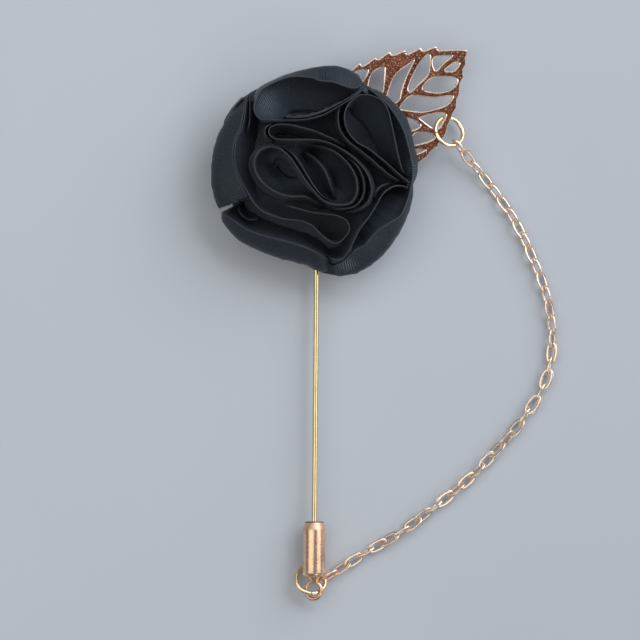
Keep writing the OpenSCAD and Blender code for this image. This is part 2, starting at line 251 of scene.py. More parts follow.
class Finish:
    """One material and its nodes."""

    def __init__(self, name, **values):
        self.material = bpy.data.materials.new(name)
        self.material.use_nodes = True
        self.tree = self.material.node_tree
        self.shader = next(n for n in self.tree.nodes if n.type == "BSDF_PRINCIPLED")
        for socket, value in values.items():
            self.feed(socket.replace("_", " "), value)

    def feed(self, socket, value):
        """Sets a socket of the surface shader to a value, or links a wire to it."""
        self.put(self.shader.inputs[socket], value)

    def put(self, target, value):
        if isinstance(value, Wire):
            self.tree.links.new(value.socket, target)
        elif isinstance(value, (tuple, list)) and len(value) == 3 and target.type == "RGBA":
            target.default_value = (*value, 1)
        else:
            target.default_value = value

    def node(self, kind, settings, sockets, output=0):
        made = self.tree.nodes.new(kind)
        for key, value in settings.items():
            setattr(made, key, value)
        for key, value in sockets.items():
            self.put(made.inputs[key], value)
        return Wire(self, made.outputs[output])

    def place(self, stretch=(1, 1, 1)):
        """Object coordinates in millimetres, stretched for a pattern that runs one way."""
        inside = self.node("ShaderNodeTexCoord", {}, {}, "Object")
        return self.node("ShaderNodeMapping", {}, {"Vector": inside, "Scale": [s / MM for s in stretch]})

    def part(self, vector, axis):
        """One coordinate of a vector, "X", "Y" or "Z"."""
        return self.node("ShaderNodeSeparateXYZ", {}, {0: vector}, axis)

    def noise(self, where, scale, detail=3, roughness=0.55):
        values = {"Vector": where, "Scale": scale, "Detail": detail, "Roughness": roughness}
        return self.node("ShaderNodeTexNoise", {}, values, "Fac")

    def mix(self, share, a, b):
        """Colour a where the share is 0 and b where it is 1."""
        return self.node("ShaderNodeMix", {"data_type": "RGBA"}, {0: share, 6: a, 7: b}, 2)

    def attribute(self, name):
        return self.node("ShaderNodeAttribute", {"attribute_name": name}, {}, "Fac")

    def bump(self, height, distance, strength=1.0):
        """Feeds a height, in units of the given distance in metres, to the surface's normal."""
        values = {"Height": height, "Distance": distance, "Strength": strength}
        self.feed("Normal", self.node("ShaderNodeBump", {}, values))


# %% [markdown]
# ## Satin
# The ribbon is nearly black navy satin. Its warp threads run up each wall, at right angles to the folded
# edge, and catch the light as fine ribs; some ribs carry painted glints. The folded edge is pressed and
# slightly worn, so it is paler, and that paler colour also stands in as a painted highlight. Spots where
# the cloth would shine get painted sheen. The pattern follows the cloth through its own UV map, in
# millimetres along and up the wall. Three marks on the points of a wall steer the rest: "edge" is the worn
# fold with its painted highlight, a second mark gives the painted sheen spots, and a third is painted shade
# under a fold where it is below 0 and painted light that greys the deep cloth where it is above 0. A
# picture would fix the pattern's fineness, and sums don't.

# %% Satin finish
RIB = 0.48  # mm from one rib to the next
WEFT = 0.44  # mm from one cross thread to the next
# Beside the navy tones: painted glints, painted sheen, painted shade under folds, painted light on deep cloth,
# and the worn edge's colour, which is also a painted highlight.
NAVY_DARK, NAVY_LIT, NAVY_FADED = (0.0042, 0.0062, 0.0098), (0.0155, 0.0205, 0.029), (0.0135, 0.0127, 0.0145)
PAINTED_GLINTS, PAINTED_SHEEN_COLOUR = (0.060, 0.072, 0.09), (0.092, 0.112, 0.138)
PAINTED_SHADE_COLOUR, PAINTED_DEEP_LIGHT, WORN_EDGE_HIGHLIGHT = (0.0012, 0.0022, 0.0034), (0.072, 0.093, 0.122), (0.030, 0.036, 0.044)

satin = Finish("navy_satin", Roughness=0.42, IOR=1.45, Specular_Tint=(0.72, 0.87, 1.0))
satin.feed("Sheen Weight", 0.12)
satin.feed("Sheen Roughness", 0.35)
satin.feed("Sheen Tint", (0.55, 0.65, 0.8))
cloth_uv = satin.node("ShaderNodeUVMap", {"uv_map": "cloth"}, {})
drift = satin.noise(satin.place(), 0.7)
mottle = satin.noise(satin.place(), 1.6, detail=6, roughness=0.65)
faded = satin.noise(satin.place(), 0.09, detail=2)
glint_noise = satin.noise(satin.place(), 2.6, detail=2, roughness=0.8)
rib = (satin.part(cloth_uv, "X") * (2 * np.pi / RIB) + drift * 12).sine() * 0.5 + 0.5
weft = (satin.part(cloth_uv, "Y") * (2 * np.pi / WEFT) + drift * 8).sine() * 0.5 + 0.5
thread = (rib * (0.35 + mottle * 0.6) + weft * 0.25).clamped()
# The worn edge with its painted highlight, painted sheen, and painted shade and light, read from marks.
worn_highlight, painted_sheen, painted_shade_and_light = (satin.attribute(mark) for mark in ("edge", "painted_sheen", "painted_shade_and_light"))
cloth = satin.mix((thread * 0.6 + mottle * 0.4).clamped(), NAVY_DARK, NAVY_LIT)
cloth = satin.mix(((faded - 0.5) * 2.2).clamped(), cloth, NAVY_FADED)
# Painted glints on some ribs.
cloth = satin.mix(((glint_noise * 6 - 3.35) * (rib * 0.75)).clamped(), cloth, PAINTED_GLINTS)
# Painted sheen in the shining spots, broken by the threads.
cloth = satin.mix((painted_sheen * (thread * 3.0 - 0.85)).clamped(), cloth, PAINTED_SHEEN_COLOUR)
# Painted shade under a fold's edge.
cloth = satin.mix((painted_shade_and_light * -0.5).clamped(), cloth, PAINTED_SHADE_COLOUR)
# Painted light that greys the deep cloth.
cloth = satin.mix((painted_shade_and_light * 0.9).clamped(), cloth, PAINTED_DEEP_LIGHT)
# Pale worn edge, whose colour also serves as a painted highlight of the fold.
satin.feed("Base Color", satin.mix((worn_highlight * 0.85).clamped(), cloth, WORN_EDGE_HIGHLIGHT))
satin.feed("Roughness", (mottle * 0.2 + 0.36).clamped())
satin.bump(thread + mottle * 0.5, 0.045 * MM, 0.85)
print(satin.material.name, "has", len(satin.tree.nodes), "nodes")

# %% [markdown]
# ## Ribbon walls
# The rose is satin ribbon, folded double along its length and wound on edge, so from above it shows as thin
# pale lines over dark pits. Cloth simulation would lose the winding that the photograph shows, so each wall
# is drawn. Its upper edge is a curve through a table's rows. Outwards the cloth bellies as far as the
# flower's rim, and inwards it may lean towards the foot, which gives a petal its depth. Where the photograph
# shows a second line, the wall has a second ply. Table columns are X, Y and height of the edge, the share of
# the way to the rim that the belly goes, and the lean of the inner side at its foot. A table leaves out its
# last columns where they are 0 throughout.

# %% The flower's rim
RIM = np.array([
    (-13.7, 14.9), (-15.6, 13.1), (-17.6, 10.3), (-19.3, 7.2), (-20.3, 3.8), (-20.7, 0.3), (-20.7, -2.5),
    (-20.1, -5.4), (-19.4, -7.1), (-18.6, -8.8), (-18.3, -10.1), (-17.0, -11.9), (-15.0, -13.9),
    (-12.1, -15.4), (-8.7, -16.8), (-4.7, -17.9), (-1.6, -18.7), (0.4, -19.8), (2.7, -20.4), (5.0, -20.8),
    (8.4, -20.2), (11.3, -18.5), (13.6, -16.5), (15.6, -13.9), (17.2, -11.4), (18.4, -8.5), (19.0, -6.5),
    (19.4, -2.7), (20.2, -0.2), (20.3, 2.1), (19.6, 4.9), (19.1, 7.3), (18.1, 10.5), (16.1, 12.9),
    (13.6, 15.2), (10.7, 16.6), (9.4, 17.5), (8.7, 18.9), (6.7, 20.2), (4.4, 20.9), (2.1, 20.9),
    (-1.3, 20.3), (-4.7, 19.3), (-8.1, 17.9), (-11.0, 16.4),
])
rim_angle = np.arctan2(RIM[:, 1], RIM[:, 0])
rim_order = np.argsort(rim_angle)
rim_angle, rim_reach = rim_angle[rim_order], np.linalg.norm(RIM, axis=1)[rim_order]


def rim_at(points):
    """Distance of the rim from the flower's middle, in the direction of each point."""
    return np.interp(np.arctan2(points[:, 1], points[:, 0]), rim_angle, rim_reach, period=2 * np.pi)


# %% Section of a wall
PLY = 0.16  # mm, thickness of a ply at its folded edge
SIDE_STEPS = 26
CREST_STEPS = 7
COLUMNS = 2 * SIDE_STEPS + CREST_STEPS

# Each array runs up a wall's left side, over its round crest and down its right side.
side_rise = np.linspace(0, 1, SIDE_STEPS) ** 0.8
level = np.zeros(SIDE_STEPS)
crest_turn = np.linspace(0, np.pi, CREST_STEPS + 2)[1:-1]
height_share = np.concatenate([side_rise, np.ones(CREST_STEPS), side_rise[::-1]])[None, :]
left_share = np.concatenate([level + 1, (1 + np.cos(crest_turn)) / 2, level])[None, :]
crest_lift = np.concatenate([level, PLY / 2 * np.sin(crest_turn), level])[None, :]
print("A wall's section has", COLUMNS, "points")

# %% Marks on a wall
# Spots of painted sheen, and spots of painted shade where the weave turns away from the light: X, Y, reach in
# both, and strength.
PAINTED_SHEEN_SPOTS = [
    (-9.6, 13.0, 2.0, 2.6, 0.8), (6.2, -18.8, 1.6, 1.2, 1.0), (19.0, -0.4, 0.9, 2.4, 1.0),
    (2.5, 19.4, 3.0, 0.7, 0.3),
]
PAINTED_SHADE_SPOTS = [(2.0, 19.3, 9.0, 2.4, 0.95), (-5.0, -16.5, 8.0, 2.6, 0.25)]
# Painted shade just under the folded edge and painted light deep down, by depth below the edge.
SHADE_AND_LIGHT_BELOW = [0, 0.15, 0.5, 2.5, 4.5, 8]  # mm below the folded edge
SHADE_AND_LIGHT_MARK = [0, -0.4, -1, -0.7, 0.1, 1]
# The worn edge is paler, and that colour also stands in as a painted highlight of the fold.
WORN_HIGHLIGHT_DEPTH = 0.12  # mm below the folded edge, over which it stops being pale
WORN_HIGHLIGHT_FADE = 1.8  # mm from a wall's end, over which the pale edge fades


def spots(points, table):
    """Sum of soft oval spots: strength * exp(-((x - X) / a)^2 - ((y - Y) / b)^2) for each."""
    x, y = points[:, 0], points[:, 1]
    return sum(much * np.exp(-(((x - u) / a) ** 2) - ((y - v) / b) ** 2) for u, v, a, b, much in table)


# %% Ribbon wall
BASE_TOP = 5.6
STRAIGHT_R = 14.0  # mm from the middle, up to where walls stand upright
FOOT_REACH = 0.58  # the part that a foot keeps of the way beyond that
WIDEST = 0.36  # how much of the foot's draw-in there is where the belly is widest
FLARE = 0.34  # mm that each side of a ply spreads at its foot
STEP = 0.3  # mm between two sections of a wall
EDGE_WAVE = 0.07  # mm that the folded edge rises and falls


def drawn_in(run, ends):
    """How a wall closes over a length at each end. With s = 1 - distance / length, its belly and lean
    shrink by sqrt(1 - s^2), and its edge drops by length * s^2."""
    s, e = (np.clip(1 - r / length, 0, 1) for r, length in zip((run, run[-1] - run), ends))
    return np.sqrt(1 - s**2) * np.sqrt(1 - e**2), ends[0] * s**2 + ends[1] * e**2


def wall(rows, phase, flare=FLARE, ends=(1.4, 1.4), gather=0.05, worn_highlight=1.0, spread=1.7, outer=1.0):
    """One ply as a closed surface: up its left side, over a round crest and down its right side.

    Middle of the wall at a share t of its height: edge * (1 - (1 - k) * (1 - t)^2), where k is the part
    of its reach that the foot keeps. The side that faces outwards adds belly * sin(180 t^0.75), and the
    side that faces inwards takes off lean * (1 - t)^1.15. Both go apart by flare * (1 - t)^spread, of
    which the outward side takes only the part `outer`. Waves gather the cloth, the more the lower. The
    ends draw in to a round corner. Three marks are one number for each point: "edge", the worn fold with its
    painted highlight, the painted sheen spots, and painted shade under the fold and painted light deep down.
    ends draw in to a round corner. The marks "edge", "shine" and "hollow" are one number for each point.
    """
    rows = np.asarray(rows, float)
    points, route = curve(np.pad(rows, ((0, 0), (0, 5 - rows.shape[1]))), STEP)
    run = route[:, None]
    closing, drop = drawn_in(run, ends)
    edge, share = points[:, :2], np.clip(points[:, 3:4], 0, 1)
    top = points[:, 2:3] - drop + EDGE_WAVE * np.sin(run * 0.8 + phase)
    reach = np.maximum(np.linalg.norm(edge, axis=1, keepdims=True), 1e-6)
    outwards = edge / reach
    kept = np.where(reach > STRAIGHT_R, (STRAIGHT_R + FOOT_REACH * (reach - STRAIGHT_R)) / reach, 1)
    widest = reach * (1 - (1 - kept) * WIDEST)
    belly = share * np.maximum(rim_at(edge)[:, None] - PLY / 2 - widest, 0) * closing
    lean = np.maximum(points[:, 4:5], 0) * closing

    forward = travel(edge)
    side = np.column_stack([-forward[:, 1], forward[:, 0]])
    left_out = np.clip(0.5 + 1.7 * np.sum(side * outwards, axis=1, keepdims=True), 0, 1)
    left_out = left_out**2 * (3 - 2 * left_out)
    out = left_share * left_out + (1 - left_share) * (1 - left_out)
    t = height_share
    radial = out * belly * np.sin(np.pi * t**0.75) - (1 - out) * lean * (1 - t) ** 1.15
    radial = radial - reach * (1 - kept) * (1 - t) ** 2
    wave = np.sin(run * 2.3 + phase) + 0.6 * np.sin(run * 4.1 + 2 * phase)
    apart = PLY / 2 + flare * (1 - (1 - outer) * out) * (1 - t) ** spread
    across = (2 * left_share - 1) * apart + 2 * gather * wave * (1 - t) ** 1.7
    plan = edge[:, None, :] + radial[..., None] * outwards[:, None, :] + across[..., None] * side[:, None, :]
    z = BASE_TOP + (top - PLY / 2 - BASE_TOP) * t + crest_lift
    grid = np.concatenate([plan, z[..., None]], axis=-1)
    height = np.concatenate([[0], np.cumsum(np.linalg.norm(np.diff(grid.mean(axis=0), axis=0), axis=1))])

    below = np.maximum(top - z, 0)
    fade = np.clip(np.minimum(run, run[-1] - run) / WORN_HIGHLIGHT_FADE, 0, 1)
    # Painted shade and light by depth, left off the bellied outer faces.
    painted_shade_and_light = np.interp(below, SHADE_AND_LIGHT_BELOW, SHADE_AND_LIGHT_MARK) * (1 - np.clip(out * share * 1.6, 0, 1))
    # A leaned inner side gets painted sheen lower down, in place of painted shade.
    leaning = (1 - out) * np.clip(lean / 2, 0, 1)
    painted_shade_and_light = painted_shade_and_light * (1 - leaning) + 0.2 * leaning * np.clip(below / 2, 0, 1)
    points = grid.reshape(-1, 3)
    caps = [end_faces(first, COLUMNS) for first in (0, len(points) - COLUMNS)]
    return {
        "points": points,
        "faces": np.vstack([grid_faces(len(route), COLUMNS), *caps]),
        "uv": np.stack(np.broadcast_arrays(run, height[None, :]), axis=-1).reshape(-1, 2),
        "length": route[-1],
        # The pale worn edge, which also carries a painted highlight.
        "edge": (worn_highlight * fade * np.exp(-((below / WORN_HIGHLIGHT_DEPTH) ** 2))).ravel(),
        # Painted sheen spots.
        "painted_sheen": np.minimum(spots(points, PAINTED_SHEEN_SPOTS), 1),
        # Painted shade and light, darker in the painted shade spots.
        "painted_shade_and_light": painted_shade_and_light.ravel() - spots(points, PAINTED_SHADE_SPOTS),
    }


# %% Ribbon pieces
# The ribbon is taken to be a usual 25 mm one, doubled along its length.
# Part of each strip's width is taken to be the gathered foot, which is glued in under the folds and doesn't
# show.
UV_APART = 40  # mm between the plies on the cloth's map, so that their ribs differ


def close_holes(mesh):
    """Puts a face over each small hole that is left at the corners of a wall's ends."""
    with editing(mesh) as work:
        bmesh.ops.holes_fill(work, edges=[e for e in work.edges if e.is_boundary], sides=0)
        bmesh.ops.recalc_face_normals(work, faces=work.faces)


def ribbon_piece(name, plies, node):
    made = [wall(rows, 1.7 * k + len(name), **how) for k, (rows, how) in enumerate(plies)]
    mesh = new_mesh(name, *joined((m["points"], m["faces"]) for m in made))
    close_holes(mesh)
    corner = np.empty(len(mesh.loops), np.int32)
    mesh.loops.foreach_get("vertex_index", corner)
    uv = np.vstack([m["uv"] + (UV_APART * k, 0) for k, m in enumerate(made)])
    mesh.uv_layers.new(name="cloth").data.foreach_set("uv", uv[corner].astype(np.float32).ravel())
    for mark in ("edge", "painted_sheen", "painted_shade_and_light"):
        add_mark(mesh, mark, np.concatenate([m[mark] for m in made]))
    piece = add_piece(name, mesh, satin.material, "satin", node)
    return piece


# %% [markdown]
# ### The middle of the flower
# A short fold stands in the heart, an S-shaped fold runs round it, and a flat loop wraps both on the right.
# Their feet are gathered so closely that they spread and meet half way down.

# %% Middle folds
HEART = [
    (-2.1, 3.8, 15.0), (-0.4, 2.6, 15.5), (1.3, 0.9, 15.7), (2.4, -1.1, 15.7), (3.1, -3.1, 15.5),
    (3.9, -5.1, 15.1), (4.3, -5.7, 14.8),
]
CENTRE = [
    (1.6, -6.8, 14.2, 0, 0), (-0.7, -5.7, 14.5, 0, 0), (-2.4, -5.2, 14.8, 0, 0), (-4.7, -5.2, 15.0, 0, 0),
    (-7.0, -4.7, 15.2, 0.03, 0), (-9.3, -3.4, 15.3, 0.05, 0.3), (-11.0, -1.7, 15.3, 0.06, 0.6),
    (-12.0, 0.3, 15.2, 0.07, 0.8), (-12.0, 2.1, 15.2, 0.07, 0.8), (-11.0, 3.8, 15.3, 0.04, 0.5),
    (-9.3, 4.6, 15.6, 0.02, 0.2), (-8.0, 4.6, 15.8, 0, 0), (-6.7, 4.1, 16.0, 0, 0), (-5.0, 2.6, 16.2, 0, 0),
    (-3.6, 0.6, 16.2, 0, 0), (-2.1, -1.7, 16.2, 0, 0), (-0.4, -3.9, 16.1, 0, 0), (1.3, -5.7, 15.9, 0, 0),
    (3.3, -6.7, 15.6, 0, 0), (5.3, -6.9, 15.5, 0, 0), (7.0, -6.5, 15.4, 0.02, 0),
    (8.1, -5.1, 15.4, 0.03, 0.3), (8.4, -3.1, 15.4, 0.03, 0.5), (8.0, -1.1, 15.5, 0.02, 0.4),
    (6.7, 1.2, 15.6, 0, 0.2), (4.4, 3.4, 15.4, 0, 0), (2.1, 4.5, 15.1, 0, 0), (-0.7, 5.2, 14.7, 0, 0),
]
CENTRE_PLY = [
    (-6.4, 4.7, 15.6), (-5.4, 4.1, 15.8), (-4.1, 2.9, 15.9), (-2.7, 0.9, 15.9), (-1.3, -1.4, 15.9),
    (-0.1, -3.3, 15.8), (1.2, -4.9, 15.5), (3.2, -6.1, 15.0),
]
RING = [
    (6.3, 4.7, 14.2, 0), (4.4, 5.8, 14.4, 0), (2.7, 6.6, 14.4, 0), (-0.1, 7.8, 14.5, 0),
    (-3.0, 8.6, 14.6, 0), (-5.3, 9.1, 14.7, 0), (-7.5, 9.1, 14.8, 0), (-8.9, 8.5, 14.8, 0),
    (-9.2, 7.6, 14.8, 0), (-8.6, 6.6, 15.0, 0), (-7.0, 6.15, 15.2, 0), (-3.6, 6.1, 15.4, 0),
    (-0.7, 6.1, 15.3, 0), (1.6, 5.8, 15.2, 0), (3.6, 5.1, 15.1, 0), (5.6, 4.0, 15.0, 0.01),
    (7.9, 2.3, 14.8, 0.03), (9.9, 0.1, 14.7, 0.05), (11.0, -2.2, 14.6, 0.07), (11.2, -4.5, 14.4, 0.07),
    (10.1, -6.8, 14.2, 0.05), (8.1, -7.9, 14.1, 0.03), (5.9, -8.2, 14.0, 0.02),
]
RING_PLY = [
    (6.4, 2.9, 14.6, 0), (8.3, 1.0, 14.6, 0.02), (9.5, -1.4, 14.5, 0.03), (9.8, -3.6, 14.4, 0.03),
    (9.3, -5.6, 14.2, 0.02), (7.9, -7.1, 14.0, 0.01), (5.6, -7.6, 13.8, 0), (3.0, -7.5, 13.6, 0),
]
RING_TURN = [(-8.6, 9.2, 14.2), (-9.6, 8.7, 14.4), (-10.0, 7.7, 14.4), (-9.6, 6.6, 14.4), (-8.4, 5.8, 14.2)]

thin = {"flare": 0.5}
wide = {"flare": 4.0, "spread": 2.4, "gather": 0.0, "ends": (4.5, 4.5), "outer": 0.25}
less_wide = {**wide, "flare": 1.6}
near = {"flare": 0.5, "ends": (3, 3)}
ribbon_piece("heart_ribbon", [(HEART, wide)], "heart_fold")
ribbon_piece("centre_ribbon", [(CENTRE, wide), (CENTRE_PLY, near)], "centre_fold")
ribbon_piece("ring_ribbon", [(RING, less_wide), (RING_PLY, near), (RING_TURN, thin)], "ring_fold")

# %% [markdown]
# ### The petals
# The outer petals belly out to the flower's rim. The left one runs on into the loop under the centre, and
# its outer layer ends in a raw cut. The top and right petals are pouches that open upwards.

# %% Petals
LEFT = [
    (-13.5, 14.9, 11.0, 0.3, 0.3), (-13.8, 13.2, 11.4, 0.5, 1.0), (-14.0, 10.9, 11.8, 0.5, 1.6),
    (-14.6, 8.3, 12.1, 0.5, 2.0), (-15.6, 6.1, 12.4, 0.5, 2.4), (-16.0, 3.2, 12.7, 0.5, 2.6),
    (-15.8, 0.9, 12.8, 0.5, 2.6), (-14.9, -1.7, 13.0, 0.45, 2.2), (-13.6, -4.1, 13.1, 0.1, 1.6),
    (-12.1, -6.5, 13.2, 0.03, 1.0), (-10.4, -8.1, 13.4, 0, 0.6), (-8.1, -9.1, 13.6, 0, 0.3),
    (-5.9, -9.7, 13.8, 0, 0), (-3.6, -9.9, 13.8, 0, 0), (-1.9, -10.3, 13.8, 0, 0),
    (-0.4, -11.1, 13.6, 0, 0), (1.0, -12.5, 13.4, 0, 0), (2.4, -13.7, 13.2, 0, 0),
    (3.6, -14.45, 13.0, 0, 0.2), (4.8, -14.35, 13.0, 0, 0.2), (6.0, -13.3, 13.1, 0, 0),
    (6.8, -12.0, 13.2, 0, 0), (6.75, -10.8, 13.5, 0, 0), (5.9, -9.7, 13.6, 0, 0), (3.9, -8.9, 13.9, 0, 0),
    (1.6, -8.6, 14.0, 0, 0), (-0.7, -8.3, 14.1, 0, 0), (-3.0, -7.7, 14.2, 0, 0), (-6.2, -6.8, 14.2, 0, 0),
]
LEFT_BAND = [
    (-18.1, 9.0, 7.4, 1), (-17.2, 10.8, 8.4, 1), (-16.1, 12.5, 9.4, 1), (-15.0, 13.8, 10.2, 1),
    (-14.25, 14.4, 10.7, 1), (-13.9, 14.1, 11.0, 1), (-14.05, 13.0, 11.2, 1), (-14.35, 10.9, 11.6, 1),
    (-14.95, 8.3, 11.9, 1), (-15.95, 6.1, 12.2, 1), (-16.35, 3.2, 12.5, 1), (-16.15, 0.9, 12.6, 1),
    (-15.25, -1.7, 12.8, 1), (-14.3, -3.6, 12.8, 1), (-13.6, -4.8, 12.7, 1), (-13.2, -5.5, 12.6, 1),
]
LEFT_PLY = [
    (-13.15, 14.5, 10.6), (-13.0, 13.2, 10.9), (-13.0, 11.8, 11.2), (-13.1, 9.6, 11.5), (-13.7, 7.6, 11.5),
]
POCKET = [
    (-15.4, -6.6, 8.9), (-15.2, -8.0, 9.4), (-14.2, -9.3, 10.0), (-12.7, -9.9, 10.6), (-11.4, -9.6, 11.0),
]
BOTTOM = [
    (-18.7, -8.3, 9.4, 1, 0.4), (-16.1, -10.0, 10.7, 1, 1.2), (-13.6, -11.7, 11.6, 1, 1.6),
    (-11.0, -12.7, 12.1, 1, 1.8), (-8.1, -13.5, 12.4, 1, 1.8), (-5.3, -14.2, 12.5, 1, 1.8),
    (-2.4, -15.1, 12.4, 1, 1.8), (-0.1, -16.1, 12.0, 1, 1.6), (1.3, -16.9, 11.5, 1, 1.2),
    (2.4, -17.7, 10.8, 1, 0.8), (3.4, -18.6, 9.8, 1, 0.2),
]
UPPER = [
    (9.9, 16.7, 11.4, 0.9, 0.4), (8.1, 15.1, 12.6, 0.2, 0), (6.4, 13.8, 13.3, 0, 0),
    (4.1, 12.4, 13.8, 0, 0), (1.9, 11.2, 14.0, 0, 0), (-0.7, 10.4, 14.2, 0, 0), (-3.0, 10.05, 14.2, 0, 0),
    (-5.6, 10.0, 14.1, 0, 0), (-8.1, 10.0, 14.0, 0, 0.2), (-10.4, 10.1, 13.7, 0, 1.2),
    (-11.5, 10.7, 13.5, 0, 3.4), (-12.1, 12.0, 13.1, 0.1, 5.6), (-11.8, 13.9, 12.6, 0.4, 6.6),
    (-10.6, 16.1, 11.8, 1, 6.4), (-8.0, 17.6, 11.4, 1, 4.6), (-4.7, 18.7, 11.3, 1, 4.8),
    (-0.7, 18.5, 11.5, 1, 4.8), (0.9, 17.9, 11.6, 1, 4.6), (3.6, 17.6, 11.8, 1, 4.2),
    (5.6, 16.9, 11.9, 1, 3.2), (7.3, 16.4, 11.8, 1, 2.0), (8.6, 16.6, 11.4, 1, 0.8),
    (9.3, 17.1, 10.9, 1, 0.4),
]
UPPER_PLY = [
    (9.0, 16.2, 11.0), (7.3, 14.9, 12.2), (5.8, 13.9, 12.9), (3.8, 12.8, 13.4), (1.6, 11.7, 13.7),
    (-0.8, 10.9, 13.8), (-3.0, 10.55, 13.8), (-5.8, 10.5, 13.6),
]
RIGHT = [
    (18.9, -2.4, 11.0, 0.2, 0), (18.0, -1.7, 11.6, 0, 0), (16.4, -0.4, 12.4, 0, 0), (14.4, 1.4, 13.2, 0, 0),
    (12.4, 3.0, 13.7, 0, 0), (10.7, 4.3, 14.0, 0, 0), (8.4, 5.6, 14.2, 0, 0), (6.7, 7.5, 14.3, 0, 0),
    (5.9, 9.8, 14.2, 0, 0), (6.0, 11.8, 13.8, 0, 0), (6.9, 13.5, 13.3, 0, 0.6), (8.4, 14.8, 12.8, 0, 1.8),
    (9.9, 15.1, 12.5, 0.1, 2.8), (11.9, 14.7, 12.3, 0.1, 3.4), (13.5, 13.7, 12.2, 0.1, 3.6),
    (14.6, 11.8, 12.2, 0.1, 3.4), (15.3, 8.9, 12.2, 0.1, 3.0), (15.9, 6.1, 12.1, 0.1, 2.6),
    (16.5, 3.2, 11.9, 0.1, 2.2), (17.2, 0.6, 11.6, 0.1, 1.4), (17.9, -0.6, 11.2, 0.1, 0.6),
]
RIGHT_PLY = [
    (5.2, 13.0, 12.8), (4.7, 11.8, 13.3), (4.6, 9.8, 13.7), (5.3, 7.5, 13.8), (7.0, 5.5, 13.7),
    (9.3, 3.8, 13.4), (11.3, 2.2, 13.0), (13.3, 0.4, 12.6), (15.3, -1.2, 11.9), (17.0, -2.0, 11.2),
]
RIGHT_OUTER = [
    (10.6, 16.4, 9.8, 1, 0), (13.9, 13.7, 10.5, 1, 1.0), (16.1, 10.9, 10.9, 1, 2.0),
    (17.6, 8.1, 11.0, 1, 2.6), (18.4, 5.5, 11.0, 1, 2.8), (19.1, 2.6, 10.8, 1, 2.6),
    (19.5, 0.3, 10.4, 1, 2.0), (19.4, -1.2, 9.9, 1, 1.0), (19.1, -2.7, 9.2, 1, 0), (18.7, -3.9, 8.6, 1, 0),
]
LOW_RIGHT = [
    (18.6, -3.5, 10.8, 0.2, 0), (17.7, -3.1, 11.5, 0, 0), (16.1, -3.1, 12.2, 0, 0),
    (14.5, -3.8, 12.8, 0, 0), (13.3, -5.1, 13.1, 0, 0), (12.1, -7.1, 13.4, 0, 0), (10.7, -9.4, 13.5, 0, 0),
    (9.0, -11.7, 13.4, 0, 0.2), (7.6, -14.2, 12.8, 0.06, 0.6), (6.7, -16.0, 12.0, 0.2, 0.8),
    (5.8, -17.2, 11.0, 0.3, 0.8), (4.6, -17.7, 10.2, 0.4, 0.6), (3.2, -17.5, 9.8, 0.4, 0.4),
    (2.3, -16.9, 9.5, 0.3, 0.2),
]
LOW_RIGHT_PLY = [(14.9, -2.6, 11.8), (13.6, -2.9, 12.2), (12.4, -3.9, 12.5), (11.7, -5.4, 12.6)]
LOW_RIGHT_OUTER = [
    (2.6, -19.3, 8.6, 1, 0), (4.0, -18.9, 9.3, 1, 0), (5.4, -18.3, 10.0, 1, 0), (6.3, -17.6, 10.5, 1, 0.1),
    (7.2, -16.8, 10.9, 1, 0.2), (8.2, -15.8, 11.4, 1, 0.6), (9.9, -14.9, 11.8, 1, 1.2),
    (11.0, -13.5, 12.0, 1, 1.6), (12.7, -11.8, 12.0, 1, 2.0), (14.7, -10.5, 11.8, 1, 2.4),
    (16.7, -9.3, 11.3, 1, 2.8), (17.6, -8.0, 10.9, 1, 2.8), (18.4, -6.0, 10.2, 1, 2.0),
    (18.9, -4.3, 9.8, 1, 1.0), (19.1, -3.0, 9.4, 1, 0.4), (19.1, -1.9, 8.9, 1, 0),
]
SKIRT_A = [
    (18.2, 4.0, 8.2, 1), (18.6, 1.0, 8.2, 1), (18.6, -1.5, 8.1, 1), (18.3, -4.0, 8.1, 1),
    (17.4, -7.4, 8.1, 1), (15.6, -11.2, 8.1, 1), (13.0, -14.6, 8.1, 1), (10.2, -17.0, 8.1, 1),
    (7.2, -18.6, 8.0, 1), (4.6, -19.0, 8.0, 1), (2.2, -18.6, 8.0, 1), (-0.8, -17.6, 8.0, 1),
    (-4.7, -16.4, 7.9, 1), (-9.0, -15.0, 7.8, 1),
]
SKIRT_B = [
    (15.6, 11.6, 8.0, 1), (13.2, 13.9, 8.2, 1), (10.6, 15.2, 8.4, 1), (8.6, 16.4, 8.5, 1),
    (6.0, 17.6, 8.3, 1),
]
SKIRT_C = [
    (-8.0, 16.4, 8.0, 1), (-10.8, 15.0, 8.6, 1), (-13.0, 13.6, 8.9, 1), (-15.2, 11.6, 8.6, 1),
    (-16.8, 9.2, 8.0, 1),
]

cut = {"flare": 0.1, "ends": (1.4, 0.25)}
smooth = {"gather": 0.0, "flare": 0.12}

# %% [markdown]
# ### Frayed threads
# The raw cut of the left petal has lost a few threads of its weave. Each is a thin tube that leaves the
# edge of the cloth in the ribbon's direction and curls a little. Hair particles would need a system of their
# own, and eighteen short tubes don't.

# %% Frayed threads
THREADS, THREAD_SEED = 18, 5
THREAD_STEPS, THREAD_SIDES = 6, 4
THREAD_R, THREAD_TAPER = 0.042, 0.02  # mm at its root, and what its tip has less
THREAD_SHORT, THREAD_MORE = 0.15, 0.75  # mm, the least length and what chance adds at most
ROOT = -0.15  # the share of its length where a thread starts, inside the cloth
FRAYED_LOW, FRAYED_TOP = 7.2, 11.6  # mm, heights between which the cut is frayed

raw = Finish("raw_threads", Roughness=0.75)
raw.feed("Base Color", raw.mix(raw.noise(raw.place(), 2.5), (0.10, 0.115, 0.14), (0.42, 0.45, 0.50)))


